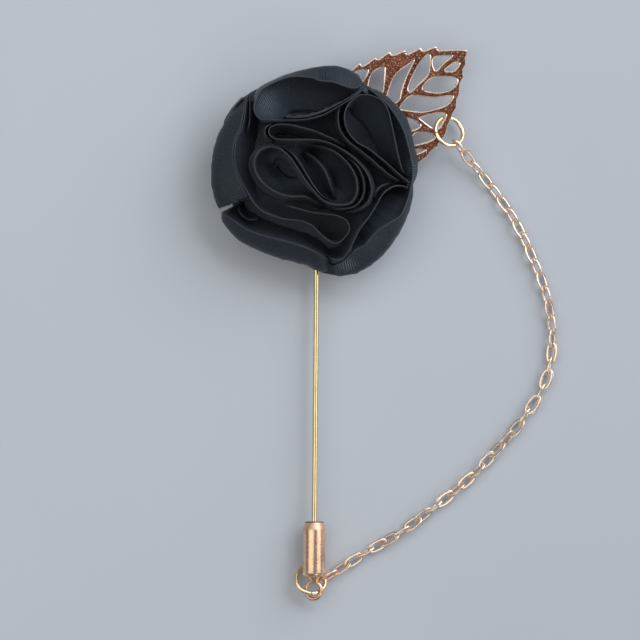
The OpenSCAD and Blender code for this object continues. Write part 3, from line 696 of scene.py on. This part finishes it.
def frayed(rows, count, seed):
    """Threads from the outer side of a wall's last section, as tubes of four sides that grow thinner. The
    middle of each is start + s * length * (forward + s * curl), for s up to 1."""
    chance = np.random.default_rng(seed)
    section = wall(rows, 1.0, **cut)["points"][-2 * COLUMNS : -COLUMNS]
    one, other = section[:SIDE_STEPS], section[::-1][:SIDE_STEPS]
    outer = one if np.hypot(*one.mean(axis=0)[:2]) > np.hypot(*other.mean(axis=0)[:2]) else other
    outer = outer[(outer[:, 2] > FRAYED_LOW) & (outer[:, 2] < FRAYED_TOP)]
    place = np.sort(chance.uniform(0, len(outer) - 1, count))
    start = np.column_stack([np.interp(place, np.arange(len(outer)), column) for column in outer.T])
    forward = np.append(travel(curve(rows, STEP)[0][:, :2])[-1], 0)
    length = THREAD_SHORT + THREAD_MORE * chance.uniform(0, 1, (count, 1, 1)) ** 3
    curl = chance.normal(0, 0.45, (count, 1, 3))
    s = np.linspace(ROOT, 1, THREAD_STEPS)[None, :, None]
    middle = start[:, None, :] + s * length * (forward + s * curl)
    angle = np.arange(THREAD_SIDES) * 2 * np.pi / THREAD_SIDES
    thick = THREAD_R - THREAD_TAPER * np.clip(s, 0, 1)
    ring = np.stack([np.cos(angle) * forward[1], -np.cos(angle) * forward[0], np.sin(angle)], axis=-1)
    points = (middle[:, :, None, :] + thick[..., None] * ring[None, None, :, :]).reshape(count, -1, 3)
    return joined((tube, tube_faces(THREAD_STEPS, THREAD_SIDES)) for tube in points)


thread_mesh = new_mesh("frayed_threads", *frayed(LEFT_BAND, THREADS, THREAD_SEED))
threads = add_piece("frayed_threads", thread_mesh, raw.material, "satin")

# %% All the petals
skirt = {"worn_highlight": 0.2}
pocket = {"flare": 0.2, "worn_highlight": 0.0}
bottom_how = {"ends": (1.4, 3.4), "gather": 0.0}
left_plies = [(LEFT, smooth), (LEFT_BAND, cut), (LEFT_PLY, thin), (POCKET, pocket)]
ribbon_piece("left_ribbon", left_plies, "left_petal")
ribbon_piece("bottom_ribbon", [(BOTTOM, bottom_how), (SKIRT_A, skirt)], "bottom_petal")
top_plies = [(UPPER, smooth), (UPPER_PLY, thin), (SKIRT_B, skirt), (SKIRT_C, skirt)]
ribbon_piece("top_ribbon", top_plies, "top_petal")
ribbon_piece("right_ribbon", [(RIGHT, smooth), (RIGHT_PLY, thin)], "right_petal")
ribbon_piece("right_outer_ribbon", [(RIGHT_OUTER, {"ends": (2, 3)})], "right_outer_petal")
ribbon_piece("low_right_ribbon", [(LOW_RIGHT, smooth), (LOW_RIGHT_PLY, thin)], "low_right_petal")
ribbon_piece("low_right_outer_ribbon", [(LOW_RIGHT_OUTER, {"ends": (2.4, 2.4)})], "low_right_outer_petal")

# %% [markdown]
# ## Felt and the padded base
# A black felt disc closes the flower's back. Over it sits the padded base, where the ribbon's lower edge is
# gathered into pleats. Both are turned shapes; the base's radius also waves with the angle, as gathers do.
# On the base's upper face a mark paints the cloth between the folds paler, as painted light down in the
# pits, except in the two open pouches at the top and on the right, which keep the dark plain colour. The
# base has slots like those of the CAD, so that the pin's pad and wire and the leaf don't run through it. A
# Boolean cuts them.

# %% Felt and base finishes
felt = Finish("black_felt", Roughness=0.95)
felt.feed("Sheen Weight", 0.5)
fuzz = felt.noise(felt.place(), 3.2, detail=6, roughness=0.7)
felt.feed("Base Color", felt.mix(fuzz, (0.006, 0.006, 0.008), (0.024, 0.025, 0.03)))
felt.bump(fuzz, 0.15 * MM, 0.9)

gathered = Finish("gathered_cloth", Roughness=0.8, Specular_IOR_Level=0.1)
crease = gathered.noise(gathered.place(), 1.6, detail=4)
# A mark of painted light on the cloth between the folds.
painted_pit_light = gathered.attribute("painted_pit_light")
plain = gathered.mix(crease, (0.010, 0.013, 0.016), (0.016, 0.020, 0.025))
pit_light_share = (painted_pit_light * (crease * 0.5 + 0.6)).clamped()
# The paler colour here is painted light in the pits.
gathered.feed("Base Color", gathered.mix(pit_light_share, plain, (0.050, 0.065, 0.084)))
gathered.bump(crease, 0.1 * MM, 0.6)


# %% Turned shapes
def turned(profile, count, radius_change=None):
    """A turned body: each profile point (radius, height) runs round the Z axis. Its two ends lie on the
    axis and close as poles. A function of angle, radius and height may change the radius."""
    profile = np.asarray(profile, float)
    angle = np.arange(count) * 2 * np.pi / count
    radius, height = profile[1:-1, :1], profile[1:-1, 1:]
    if radius_change is not None:
        radius = radius + radius_change(angle[None, :], radius, height)
    grid = np.stack(np.broadcast_arrays(radius * np.cos(angle), radius * np.sin(angle), height), axis=-1)
    poles = [[0, 0, profile[0, 1]], [0, 0, profile[-1, 1]]]
    low = count * len(height)
    last = low - count
    after = (np.arange(count) + 1) % count
    low_fan = [(low, after[k], k) for k in range(count)]
    high_fan = [(low + 1, last + k, last + after[k]) for k in range(count)]
    return np.vstack([grid.reshape(-1, 3), poles]), [*grid_faces(len(height), count), *low_fan, *high_fan]


def arc(middle, radius, start, end, count=6):
    """Points of an arc of a profile: middle + radius * (cos, sin), with its angles in degrees."""
    a = np.radians(np.linspace(start, end, count))
    return [(middle[0] + radius * np.cos(x), middle[1] + radius * np.sin(x)) for x in a]


# %% Felt disc
BACK_T = 1.6
FELT_CORNER = 0.3
INSIDE_CAD = 0.05  # mm that felt and base are drawn within their CAD solids


def felt_edge(angle, radius, height):
    """Small uneven bites and bulges of a cut felt edge, only near the rim: a sum of three sines of the
    angle."""
    wave = 0.06 * np.sin(7 * angle + 1) + 0.04 * np.sin(19 * angle) + 0.03 * np.sin(43 * angle + 2 * height)
    return wave * np.clip((radius - 12) / 2, 0, 1) - INSIDE_CAD


felt_top = BACK_T - 0.03
disc = [
    (0, 0),
    *[(r, 0) for r in np.linspace(1, 13.3, 12)],
    *arc((13.65, 0.35), FELT_CORNER, -90, 0),
    *arc((13.65, 1.25), FELT_CORNER, 0, 90),
    *[(r, felt_top) for r in np.linspace(13.2, 1, 10)],
    (0, felt_top),
]
disc_mesh = new_mesh("felt_disc", *turned(disc, 240, felt_edge))
felt_disc = add_piece("felt_disc", disc_mesh, felt.material, "felt", "backing")


# %% Padded base
BASE_LOW = 1.7
PLEAT = 0.35  # mm deep


def gathers(angle, radius, height):
    """Pleats round the base: two sines of the angle, deepest on its lower slope and gone at its upper
    face."""
    depth = PLEAT * np.exp(-(((height - 3.2) / 1.6) ** 2)) * np.clip((radius - 9) / 6, 0, 1)
    wave = np.sin(46 * angle + 2 * np.sin(3 * angle)) + 0.5 * np.sin(71 * angle + 1)
    return depth * wave - 0.5 * depth - INSIDE_CAD


dish = [
    (0, BASE_LOW), *[(r, BASE_LOW) for r in np.linspace(1, 13.6, 10)], (14.5, BASE_LOW + 0.05), (15.3, 2.1),
    (16.2, 2.7), (17.0, 3.3), (17.5, 3.9), (17.85, 4.5), *arc((17.2, 4.8), 0.8, 0, 90),
    *[(r, BASE_TOP) for r in np.linspace(16.5, 1, 12)], (0, BASE_TOP),
]
whole_base = new_mesh("padded_base", *turned(dish, 480, gathers))

# %% Slots of the base
PIN_X = 0.5
PIN_LEAN = np.radians(-0.52)
SLOT_LOW, SLOT_TOP = 0.7, 3.85  # of the pad's recess and the wire's channel, open below
SLIT_LOW, SLIT_TOP = 3.82, 4.85  # of the leaf's slit
PAD_CLEAR = 5.9
LEAF_SLIT = [(14, -1), (26, -1), (26, 26), (4, 21), (1.4, 12), (1.4, 2.2)]
CHANNEL = [(-0.35, -36), (-0.35, 0), (1.35, 0), (1.35, -36)]
MEET = 0.002 * MM  # corners closer than this become one


def prism(name, outline, low, high):
    """A closed upright prism over an outline in millimetres, as an object to cut with."""
    tool = bpy.data.objects.new(name, bpy.data.meshes.new(name))
    with editing(tool.data) as work:
        floor_face = work.faces.new([work.verts.new((x * MM, y * MM, low * MM)) for x, y in outline])
        grown = bmesh.ops.extrude_face_region(work, geom=[floor_face])["geom"]
        upper = [v for v in grown if isinstance(v, bmesh.types.BMVert)]
        bmesh.ops.translate(work, verts=upper, vec=(0, 0, (high - low) * MM))
        bmesh.ops.recalc_face_normals(work, faces=work.faces)
    bpy.context.scene.collection.objects.link(tool)
    return tool


def cut_by(mesh, tools):
    """The mesh less each of the tools, which are removed afterwards.

    Two faces on the same three corners enclose nothing and both go. Sharp edges stay sharp.
    """
    blank = bpy.data.objects.new("blank", mesh)
    bpy.context.scene.collection.objects.link(blank)
    for tool in tools:
        cutter = blank.modifiers.new(tool.name, "BOOLEAN")
        cutter.object = tool
        cutter.operation = "DIFFERENCE"
        cutter.solver = "EXACT"
    seen = blank.evaluated_get(bpy.context.evaluated_depsgraph_get())
    result = bpy.data.meshes.new_from_object(seen)
    for done in [blank, *tools]:
        bpy.data.objects.remove(done)
    with editing(result) as work:
        bmesh.ops.triangulate(work, faces=work.faces)
        bmesh.ops.remove_doubles(work, verts=work.verts, dist=MEET)
        work.verts.index_update()
        met = {}
        for face in work.faces:
            met.setdefault(frozenset(v.index for v in face.verts), []).append(face)
        doubled = [face for same in met.values() if len(same) > 1 for face in same]
        bmesh.ops.delete(work, geom=doubled, context="FACES")
    result.set_sharp_from_angle(angle=np.radians(50))
    return result


around_pad = np.arange(64) * 2 * np.pi / 64
pad_outline = PAD_CLEAR * np.column_stack([np.cos(around_pad), np.sin(around_pad)])
recess = prism("recess", pad_outline.tolist(), SLOT_LOW, SLOT_TOP)
channel = prism("channel", (np.array(CHANNEL) @ rotation(Z, PIN_LEAN)[:2, :2].T).tolist(), SLOT_LOW, SLOT_TOP)
slit = prism("slit", LEAF_SLIT, SLIT_LOW, SLIT_TOP)
base_mesh = cut_by(whole_base, [recess, channel, slit])
base_mesh.name = "padded_base"

# %% The base as a piece
POUCHES = [(10.5, 7.5, 5, 6.5, 1), (-2, 13.4, 9, 4.5, 1)]  # spots: X, Y, reach in both, and strength
PIT_LIGHT_DEPTH = 0.6  # mm below the base's upper face

base_points = np.array([v.co[:] for v in base_mesh.vertices]) / MM
open_pouch = np.maximum(*[spots(base_points, [pouch]) for pouch in POUCHES])
# No painted light in the two open pouches.
add_mark(base_mesh, "painted_pit_light", (base_points[:, 2] > BASE_TOP - PIT_LIGHT_DEPTH) * (1 - open_pouch))
base = add_piece("padded_base", base_mesh, gathered.material, "base_cloth", "flower_base")

# %% [markdown]
# ## Metals
# Six plated finishes share one recipe: a metallic surface whose colour drifts slowly between two tones, and
# a fine noise that makes it slightly uneven. They differ in colour and grain: pale gold for the wire, rose
# gold for the cap and chain, yellower gold for the jump rings, and for the leaf a dark grainy copper with
# bright specks and a polished copper on its rims. The cap's mouth is rougher and painted dark, as shade in
# its bore.


# %% Metal finishes
CAP_MOUTH = 70.2  # mm from the flower's middle down to the cap's mouth
# The cap's mouth is painted dark, as shade in its bore, over the first of these two lengths.
MOUTH_SHADE = 0.22  # mm from its end over which the cap's mouth is dark
MOUTH_ROUGH = 1.7  # mm from its end over which it is rough
# Colour of the painted shade in the cap's mouth.
MOUTH_SHADE_COLOUR = (0.10, 0.045, 0.03)


def plated(
    name, colour, deep, roughness, grain=2.6, relief=0.012, stretch=(1, 1, 1), specks=None, mouth=None
):
    """A plated metal whose colour drifts between two tones, with grain of the given scale per millimetre.

    Specks are a colour for bright grains. Mouth is the Y in mm of the end that is rough and painted dark, as
    shade.
    """
    metal = Finish(name, Metallic=1.0)
    where = metal.place(stretch)
    speck = metal.noise(where, grain, detail=4)
    tone = metal.noise(metal.place(), 0.35, detail=2)
    surface = metal.mix(((tone * 0.45 + speck * 0.55 - 0.5) * 2.6 + 0.5).clamped(), deep, colour)
    if specks:
        surface = metal.mix((metal.noise(where, grain * 1.3, detail=1) * 9 - 5.2).clamped(), surface, specks)
    rough = speck * 0.2 + (roughness - 0.1)
    if mouth is not None:
        along = metal.part(metal.place(), "Y")
        # Painted shade at the mouth, and real roughness after it.
        surface = metal.mix(((along - (mouth - MOUTH_SHADE)) * 9).clamped(), surface, MOUTH_SHADE_COLOUR)
        rough = rough + ((along - (mouth - MOUTH_ROUGH)) * 3).clamped() * 0.2
    metal.feed("Base Color", surface)
    metal.feed("Roughness", rough.clamped())
    metal.bump(speck, relief * MM, 0.6)
    print(name, "has", len(metal.tree.nodes), "nodes")
    return metal.material


pin_gold = plated("pale_gold_wire", (0.86, 0.73, 0.42), (0.66, 0.53, 0.26), 0.16, 4, 0.004, (1, 0.05, 1))
cap_gold = plated("rose_gold_cap", (0.98, 0.70, 0.48), (0.66, 0.38, 0.25), 0.26, 5, 0.03, mouth=-CAP_MOUTH)
ring_gold = plated("gold_ring", (1.0, 0.82, 0.53), (0.88, 0.62, 0.36), 0.24, 2.6, 0.004)
chain_gold = plated("rose_gold_chain", (1.0, 0.93, 0.77), (0.86, 0.56, 0.43), 0.24, 1.3, 0.002)
leaf_copper = plated(
    "cast_copper", (0.22, 0.078, 0.048), (0.022, 0.007, 0.005), 0.40, 2.6, 0.24, specks=(0.66, 0.34, 0.23)
)
leaf_bright = plated("polished_copper", (1.0, 0.88, 0.76), (0.98, 0.74, 0.60), 0.27, 4, 0.01)

# %% [markdown]
# ## Stick pin and cap
# Both are turned about the pin's axis, so one helper lays a turned body along it. The pin's wire is soldered
# to a round pad inside the flower's base. The cap's profile goes down its bore as well, because its mouth
# shows as a dark ring round the wire, and the cap ends in a soldered eye for the chain's jump ring.

# %% Along the pin
PIN_Z = 3.2
PIN_R = 0.55
PIN_ABOVE = 4  # mm that the wire reaches past the flower's middle


def along_pin(points, start):
    """Turns a body made on +Z so that its axis runs down the pin, from a distance past the flower's
    middle."""
    points = np.asarray(points, float)
    laid = np.column_stack([points[:, 0] + PIN_X, -points[:, 2] - start, points[:, 1] + PIN_Z])
    return laid @ rotation(Z, PIN_LEAN).T


# %% Pin
shaft = [
    (0, 0), (0.35, 0), (0.5, 0.06), (PIN_R, 0.16),
    *[(PIN_R, z) for z in np.linspace(2, 79, 40)],
    (0.52, 79.8), (0.4, 80.6), (0.25, 81.5), (0.12, 82.2), (0, 82.4),
]
pad = [(0, 2.3), (4.6, 2.3), (4.9, 2.36), (5, 2.5), (5, 2.75), (4.9, 2.86), (4.6, 2.9), (0, 2.9)]
shaft_points, shaft_faces = turned(shaft, 24)
pad_points, pad_faces = turned(pad, 64)
pin = joined([(along_pin(shaft_points, -PIN_ABOVE), shaft_faces), (pad_points + (PIN_X, 0, 0), pad_faces)])
add_piece("pin_wire", new_mesh("pin_wire", *pin), pin_gold, "pin_metal", "stick_pin")

# %% Cap
CAP_R = 2.25
CAP_L = 11.0
EYE_R = 1.75
EYE_WIRE = 0.8
EYE_STEM = 1.0  # mm from the barrel's end to the wire's middle line
EYE_ROLL = np.radians(27)
barrel = [
    (0, 9.5), (0.55, 9.5), (0.65, 9.4), (0.65, 7), (0.65, 4), (0.65, 1.5), (0.68, 1.24), (0.75, 1.2),
    (1.04, 1.2), (1.1, 1.14), (1.1, 0.1), (1.14, 0.02), (1.2, 0), (1.74, 0), (1.82, 0.03), (1.87, 0.1),
    (2.2, 1.36), (2.24, 1.5), (CAP_R, 1.66),
    *[(CAP_R, z) for z in np.linspace(2.5, 10.2, 8)],
    (2.22, 10.55), (2.1, 10.78), (1.85, 10.96), (1.6, CAP_L), (1.34, 11.03), (1.2, 11.15), (0.76, 12.3),
    (0.62, 12.45), (0.4, 12.5), (0, 12.5),
]


def ring_grid(radius, wire, around=96, section=20):
    """A ring in the XY plane: the wire's round section carried along a circle."""
    a = np.arange(around)[:, None] * 2 * np.pi / around
    b = np.arange(section)[None, :] * 2 * np.pi / section
    out = radius + wire / 2 * np.cos(b)
    points = np.stack(np.broadcast_arrays(out * np.cos(a), out * np.sin(a), wire / 2 * np.sin(b)), axis=-1)
    return points.reshape(-1, 3), grid_faces(around, section, round_rows=True)


cap_points, cap_faces = turned(barrel, 96)
eye, eye_faces = ring_grid(EYE_R, EYE_WIRE)
eye = eye @ rotation(X, np.pi / 2).T @ rotation(Z, EYE_ROLL).T
eye = along_pin(eye, CAP_MOUTH + CAP_L + EYE_STEM + EYE_R)
cap = joined([(along_pin(cap_points, CAP_MOUTH), cap_faces), (eye, eye_faces)])
add_piece("cap_barrel", new_mesh("cap_barrel", *cap), cap_gold, "cap_metal", "cap")

# %% [markdown]
# ## Jump rings
# A jump ring is bent from round wire, so it has a hairline joint where its ends meet. A plain torus wouldn't
# show that, so the tube is carried along an arc that stops just short of a full circle, and its end sections
# are drawn in a little and closed.


# %% Jump rings
RING_R = 3.02
RING_WIRE = 0.9  # the CAD has 0.82, which looks thin beside the photograph
RING_GAP = 0.05  # mm from each end to the middle of the joint
END_DRAWN_IN = 0.86


def facing(points, place, direction):
    """Turns a flat thing so that its face looks along a direction, and moves it to its place."""
    direction = np.asarray(direction, float) / np.linalg.norm(direction)
    tilt, spin = np.arccos(direction[2]), np.arctan2(direction[1], direction[0])
    return points @ (rotation(Z, spin) @ rotation(Y, tilt)).T + np.asarray(place)


def jump_ring(joint, section=20, around=128):
    """A tube along an arc that starts and ends beside the joint's angle in degrees, with its end sections
    drawn in."""
    gap = RING_GAP / RING_R
    a = np.radians(joint) + np.linspace(gap, 2 * np.pi - gap, around)[:, None]
    b = np.arange(section)[None, :] * 2 * np.pi / section
    r = np.full((around, 1), RING_WIRE / 2)
    r[[0, -1]] *= END_DRAWN_IN
    out = RING_R + r * np.cos(b)
    points = np.stack(np.broadcast_arrays(out * np.cos(a), out * np.sin(a), r * np.sin(b)), axis=-1)
    return points.reshape(-1, 3), tube_faces(around, section)


for ring_name, ring_node, place, direction, joint in (
    ("leaf_jump_ring", "leaf_ring", (26.89, 7.92, 4.1), (0.48, 0.41, 1), 150),
    ("cap_jump_ring", "cap_ring", (-0.9, -81.96, 2.04), (0.23, 0.6, 1), 200),
):
    ring_points, ring_faces = jump_ring(joint)
    ring_mesh = new_mesh(ring_name, facing(ring_points, place, direction), ring_faces)
    add_piece(ring_name, ring_mesh, ring_gold, "ring_metal", ring_node)

# %% [markdown]
# ## Cable chain
# Forty oval links of wire are pressed a little flat, and each is turned about a quarter against the last. An
# array modifier would space them evenly on a curve but not thread them, so a table gives the middle of every
# third link and the rolls of all of them, and the same curve as in CAD places the rest.

# %% Chain
CHAIN = np.array([
    (28.96, 4.78, 4.02, 68, -30, 60), (34.3, -1.8, 1.32, -42, 52, -40), (39.5, -9.0, 1.3, 52, -40, 52),
    (43.3, -16.6, 1.3, -40, 50, -40), (46.4, -24.9, 1.3, 50, -44, 50), (47.6, -33.6, 1.3, -58, 26, -76),
    (46.4, -41.7, 1.3, 8, -84, 8), (42.1, -49.2, 1.3, -72, 28, -50), (36.5, -55.8, 1.3, 42, -26, 58),
    (30.4, -62.0, 1.3, -24, 60, -20), (23.9, -67.3, 1.3, 78, -36, 30), (17.3, -72.3, 1.3, -76, 38, -28),
    (10.15, -76.45, 1.3, 82, -28, 44), (2.8, -81.2, 1.26, -63, 40, -40),
])
LINK_L, LINK_W = 4.45, 2.5
WIRE_W, WIRE_T = 0.6, 0.48  # the CAD has 0.55 and 0.46, which look thin beside the photograph


def blunt(wave, power):
    """The wave's size to a power below 1, with its sign kept. In place of cosine and sine it squares a
    circle off."""
    return np.sign(wave) * abs(wave) ** power


def link(around=44, section=14):
    """One link on the XY plane: a squared-off section carried along an oval with blunt ends."""
    a = ((np.arange(around) + 0.5) * 2 * np.pi / around)[:, None]
    oval = np.hstack([blunt(np.cos(a), 0.8), blunt(np.sin(a), 0.88)])
    middle = oval * ((LINK_L - WIRE_W) / 2, (LINK_W - WIRE_W) / 2)
    forward = travel(middle, closed=True)
    out = np.column_stack([forward[:, 1], -forward[:, 0]])
    b = np.arange(section) * 2 * np.pi / section
    across = WIRE_W / 2 * blunt(np.cos(b), 0.5)
    lift = WIRE_T / 2 * blunt(np.sin(b), 0.5)
    plan = middle[:, None, :] + across[None, :, None] * out[:, None, :]
    high = np.broadcast_to(lift[None, :, None], (around, section, 1))
    return np.concatenate([plan, high], axis=-1).reshape(-1, 3), grid_faces(around, section, round_rows=True)


link_points, link_faces = link()
middles = fine_curve(CHAIN[:, :3], 3)
rolls = np.radians(CHAIN[:, 3:].ravel()[: len(middles)])
last = len(middles) - 1
chain_parts = []
for k, (middle, roll) in enumerate(zip(middles, rolls)):
    run = middles[min(k + 1, last)] - middles[max(k - 1, 0)]
    dip, spin = -np.arctan2(run[2], np.hypot(run[0], run[1])), np.arctan2(run[1], run[0])
    turns = rotation(Z, spin) @ rotation(Y, dip) @ rotation(X, roll)
    chain_parts.append((link_points @ turns.T + middle, link_faces))
print("links:", len(chain_parts))
add_piece("chain_links", new_mesh("chain_links", *joined(chain_parts)), chain_gold, "chain_metal", "chain")

# %% [markdown]
# ## Leaf
# The leaf is cast: a grainy plate, pierced between its veins, with a smooth raised rim round every opening
# and along its toothed margin. The plate is a merged copy of the CAD node with its sharp edges bevelled.
# The rims are beads carried along the same curves and sunk into the edges of the metal, so that a part shows.
# A finer bevel alone would leave them the plate's colour, and they are the brightest part of the leaf.

# %% Leaf plate
LEAF_Z = 3.95
LEAF_T = 0.5
plate_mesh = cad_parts["leaf"].data.copy()
plate_mesh.materials.clear()
with editing(plate_mesh) as work:
    bmesh.ops.remove_doubles(work, verts=work.verts, dist=0.001 * MM)
    bmesh.ops.dissolve_limit(work, angle_limit=np.radians(1), verts=work.verts, edges=work.edges)
plate = add_piece("leaf_plate", plate_mesh, leaf_copper, "leaf_metal", "leaf")
soft_edge = plate.modifiers.new("soft_edge", "BEVEL")
soft_edge.width = 0.14 * MM
soft_edge.segments = 3
soft_edge.limit_method = "ANGLE"
soft_edge.angle_limit = np.radians(50)
soft_edge.harden_normals = False

# %% Leaf rims
MARGIN = [
    (7.1, 20.0), (8.8, 21.5), (9.6, 21.1), (11.8, 22.6), (12.7, 22.4), (14.7, 23.8), (15.6, 23.3),
    (17.8, 24.1), (18.5, 23.5), (20.9, 24.6), (21.7, 24.1), (24.0, 24.9), (24.8, 24.2), (27.2, 24.3),
    (30.5, 24.1), (30.0, 22.8), (30.1, 21.4), (29.5, 20.4), (29.6, 18.9), (28.9, 17.6), (28.9, 15.8),
    (28.3, 14.3), (28.2, 12.8), (27.5, 11.6), (27.1, 10.5), (26.5, 9.3), (26.3, 8.1), (25.7, 6.9),
    (24.9, 6.1), (24.3, 4.9), (23.1, 4.1), (22.3, 2.9), (21.1, 2.1), (19.4, 0.7),
]
CELLS = [
    [(27.4, 23.2), (23.8, 22.9), (23.5, 21.0), (24.3, 20.1), (25.8, 21.6)],
    [(21.8, 22.9), (22.9, 23.4), (23.1, 21.6), (22.7, 19.4), (20.7, 17.3), (19.1, 15.8), (18.5, 16.6),
     (19.2, 18.6), (20.4, 21.0)],
    [(16.0, 19.3), (17.1, 20.4), (18.5, 21.4), (19.8, 22.3), (19.0, 20.4), (18.1, 18.4), (17.3, 16.1),
     (16.8, 14.2), (15.4, 13.4), (14.3, 14.6), (15.1, 17.6)],
    [(11.5, 19.9), (13.8, 20.9), (13.9, 18.6), (13.6, 16.0), (12.4, 14.6), (10.8, 15.6), (10.6, 17.6)],
    [(8.2, 20.2), (10.6, 20.3), (9.4, 17.8), (7.6, 17.6)],
    [(25.9, 20.4), (28.0, 21.9), (28.9, 21.6), (28.2, 20.3), (26.6, 19.8)],
    [(23.0, 18.6), (26.0, 19.1), (28.2, 18.7), (28.4, 17.5), (27.0, 16.1), (24.6, 15.6), (21.4, 16.3)],
    [(19.2, 15.2), (23.8, 14.9), (27.5, 15.2), (26.4, 13.3), (22.0, 11.8), (17.6, 12.2), (16.9, 12.8)],
    [(20.9, 10.8), (24.7, 11.8), (26.2, 11.4), (25.8, 10.1), (25.0, 8.8), (23.8, 8.4), (21.4, 10.0)],
    [(17.4, 10.6), (19.0, 10.8), (20.4, 10.1), (21.1, 9.3), (20.8, 8.7), (19.4, 8.1), (17.6, 8.4)],
    [(19.6, 7.4), (21.4, 7.9), (23.3, 7.6), (23.9, 6.5), (21.4, 5.5), (19.6, 5.3)],
    [(19.6, 4.2), (20.9, 4.5), (22.2, 4.3), (21.3, 3.8), (20.3, 3.4), (19.4, 3.3)],
]
BEAD = 0.46  # mm across
CELL_OUT, MARGIN_OUT = 0.03, 0.12  # mm that the beads are moved into the metal
MARGIN_LIFT = 0.05  # mm that the margin's bead stands higher than the others


def bead(plan, closed, lift, section=12):
    """A rounded rim along a plan curve: a circle carried along it, whose top is lifted over the plate's
    face. The lift is one number for each point of the curve."""
    forward = travel(plan, closed)
    side = np.column_stack([-forward[:, 1], forward[:, 0]])
    b = np.arange(section) * 2 * np.pi / section
    across, rise = BEAD / 2 * np.cos(b), BEAD / 2 * np.sin(b)
    flat = plan[:, None, :] + across[None, :, None] * side[:, None, :]
    z = (LEAF_Z + LEAF_T - BEAD / 2 + lift)[:, None] + rise[None, :]
    faces = grid_faces(len(plan), section, round_rows=True) if closed else tube_faces(len(plan), section)
    return np.concatenate([flat, z[..., None]], axis=-1).reshape(-1, 3), faces


def proud(to_metal):
    """How far a rim's top stands over the plate's face: from -0.17 mm where the metal lies up and left of
    it to 0.1 mm where it lies down and right."""
    return -0.17 + 0.27 * np.clip(0.55 + 0.75 * to_metal @ np.array([0.6, -0.8]), 0, 1)


beads = []
for cell in CELLS:
    plan = closed_curve(cell, 8)
    forward = travel(plan, closed=True)
    spin = np.sign(np.sum(plan[:, 0] * np.roll(plan[:, 1], -1) - np.roll(plan[:, 0], -1) * plan[:, 1]))
    outside = spin * np.column_stack([forward[:, 1], -forward[:, 0]])
    beads.append(bead(plan + CELL_OUT * outside, True, proud(outside)))
margin, _ = curve(MARGIN, 0.25)
to_metal = travel(margin)[:, ::-1] * (1, -1)
beads.append(bead(margin + MARGIN_OUT * to_metal, False, proud(to_metal) + MARGIN_LIFT))
add_piece("leaf_rims", new_mesh("leaf_rims", *joined(beads)), leaf_bright, "leaf_metal")

# %% [markdown]
# ## Floor and light
# The pin lies on plain grey-blue card, painted slowly paler to the left and darker to the right as a painted
# falloff of light. A broad soft light stands up and to the right, as the soft shadows fall to the lower left.
# Four weak lamps give the metal its other highlights, and an even sky fills in.

# %% Floor and light
card = Finish("grey_blue_card", Roughness=0.9)
tint = card.noise(card.place(), 0.02, detail=2)
across = card.part(card.place(), "X")
# Paler to the left and darker to the right: a painted falloff of light.
bright = card.mix(tint, (0.515, 0.562, 0.628), (0.545, 0.592, 0.659))
card_painted_shade = card.mix(tint, (0.445, 0.485, 0.55), (0.475, 0.515, 0.58))
card.feed("Base Color", card.mix((0.5 - across * (1 / 160)).clamped(), card_painted_shade, bright))
FLOOR_HALF = 1.5
FLOOR_Z = -0.05 * MM
corners = [(x * FLOOR_HALF, y * FLOOR_HALF, FLOOR_Z) for x, y in ((-1, -1), (1, -1), (1, 1), (-1, 1))]
floor_mesh = bpy.data.meshes.new("floor")
floor_mesh.from_pydata(corners, [], [(0, 1, 2, 3)])
floor_mesh.materials.append(card.material)
floor = bpy.data.objects.new("floor", floor_mesh)
bpy.context.scene.collection.objects.link(floor)


def soft_light(name, place, target, size, power, colour):
    """A rectangular area light of the given width and depth that looks at a target."""
    data = bpy.data.lights.new(name, "AREA")
    data.shape = "RECTANGLE"
    data.size, data.size_y = size
    data.energy = power
    data.color = colour
    lamp = bpy.data.objects.new(name, data)
    lamp.location = place
    aim = Vector(target) - Vector(place)
    lamp.rotation_euler = aim.to_track_quat("-Z", "Y").to_euler()
    bpy.context.scene.collection.objects.link(lamp)
    print(name, "at", place, "with", power, "W")


middle = (0.01, -0.03, 0)
soft_light("window", (0.47, 0.36, 0.50), middle, (0.66, 0.66), 4.3, (0.97, 0.98, 1.0))
soft_light("lamp_left", (-0.34, -0.04, 0.58), middle, (0.42, 0.62), 1.05, (1.0, 0.93, 0.80))
soft_light("lamp_top", (-0.06, 0.42, 0.58), middle, (0.62, 0.24), 0.68, (1.0, 0.97, 0.93))
soft_light("lamp_right", (0.62, -0.08, 0.45), middle, (0.16, 0.5), 0.5, (1.0, 0.86, 0.84))
soft_light("lamp_low", (0.30, -0.46, 0.50), middle, (0.30, 0.30), 0.45, (1.0, 0.97, 0.91))

world = bpy.data.worlds.new("sky")
bpy.context.scene.world = world
world.use_nodes = True
sky = world.node_tree.nodes["Background"]
sky.inputs["Color"].default_value = (0.82, 0.91, 1.0, 1)
sky.inputs["Strength"].default_value = 0.2
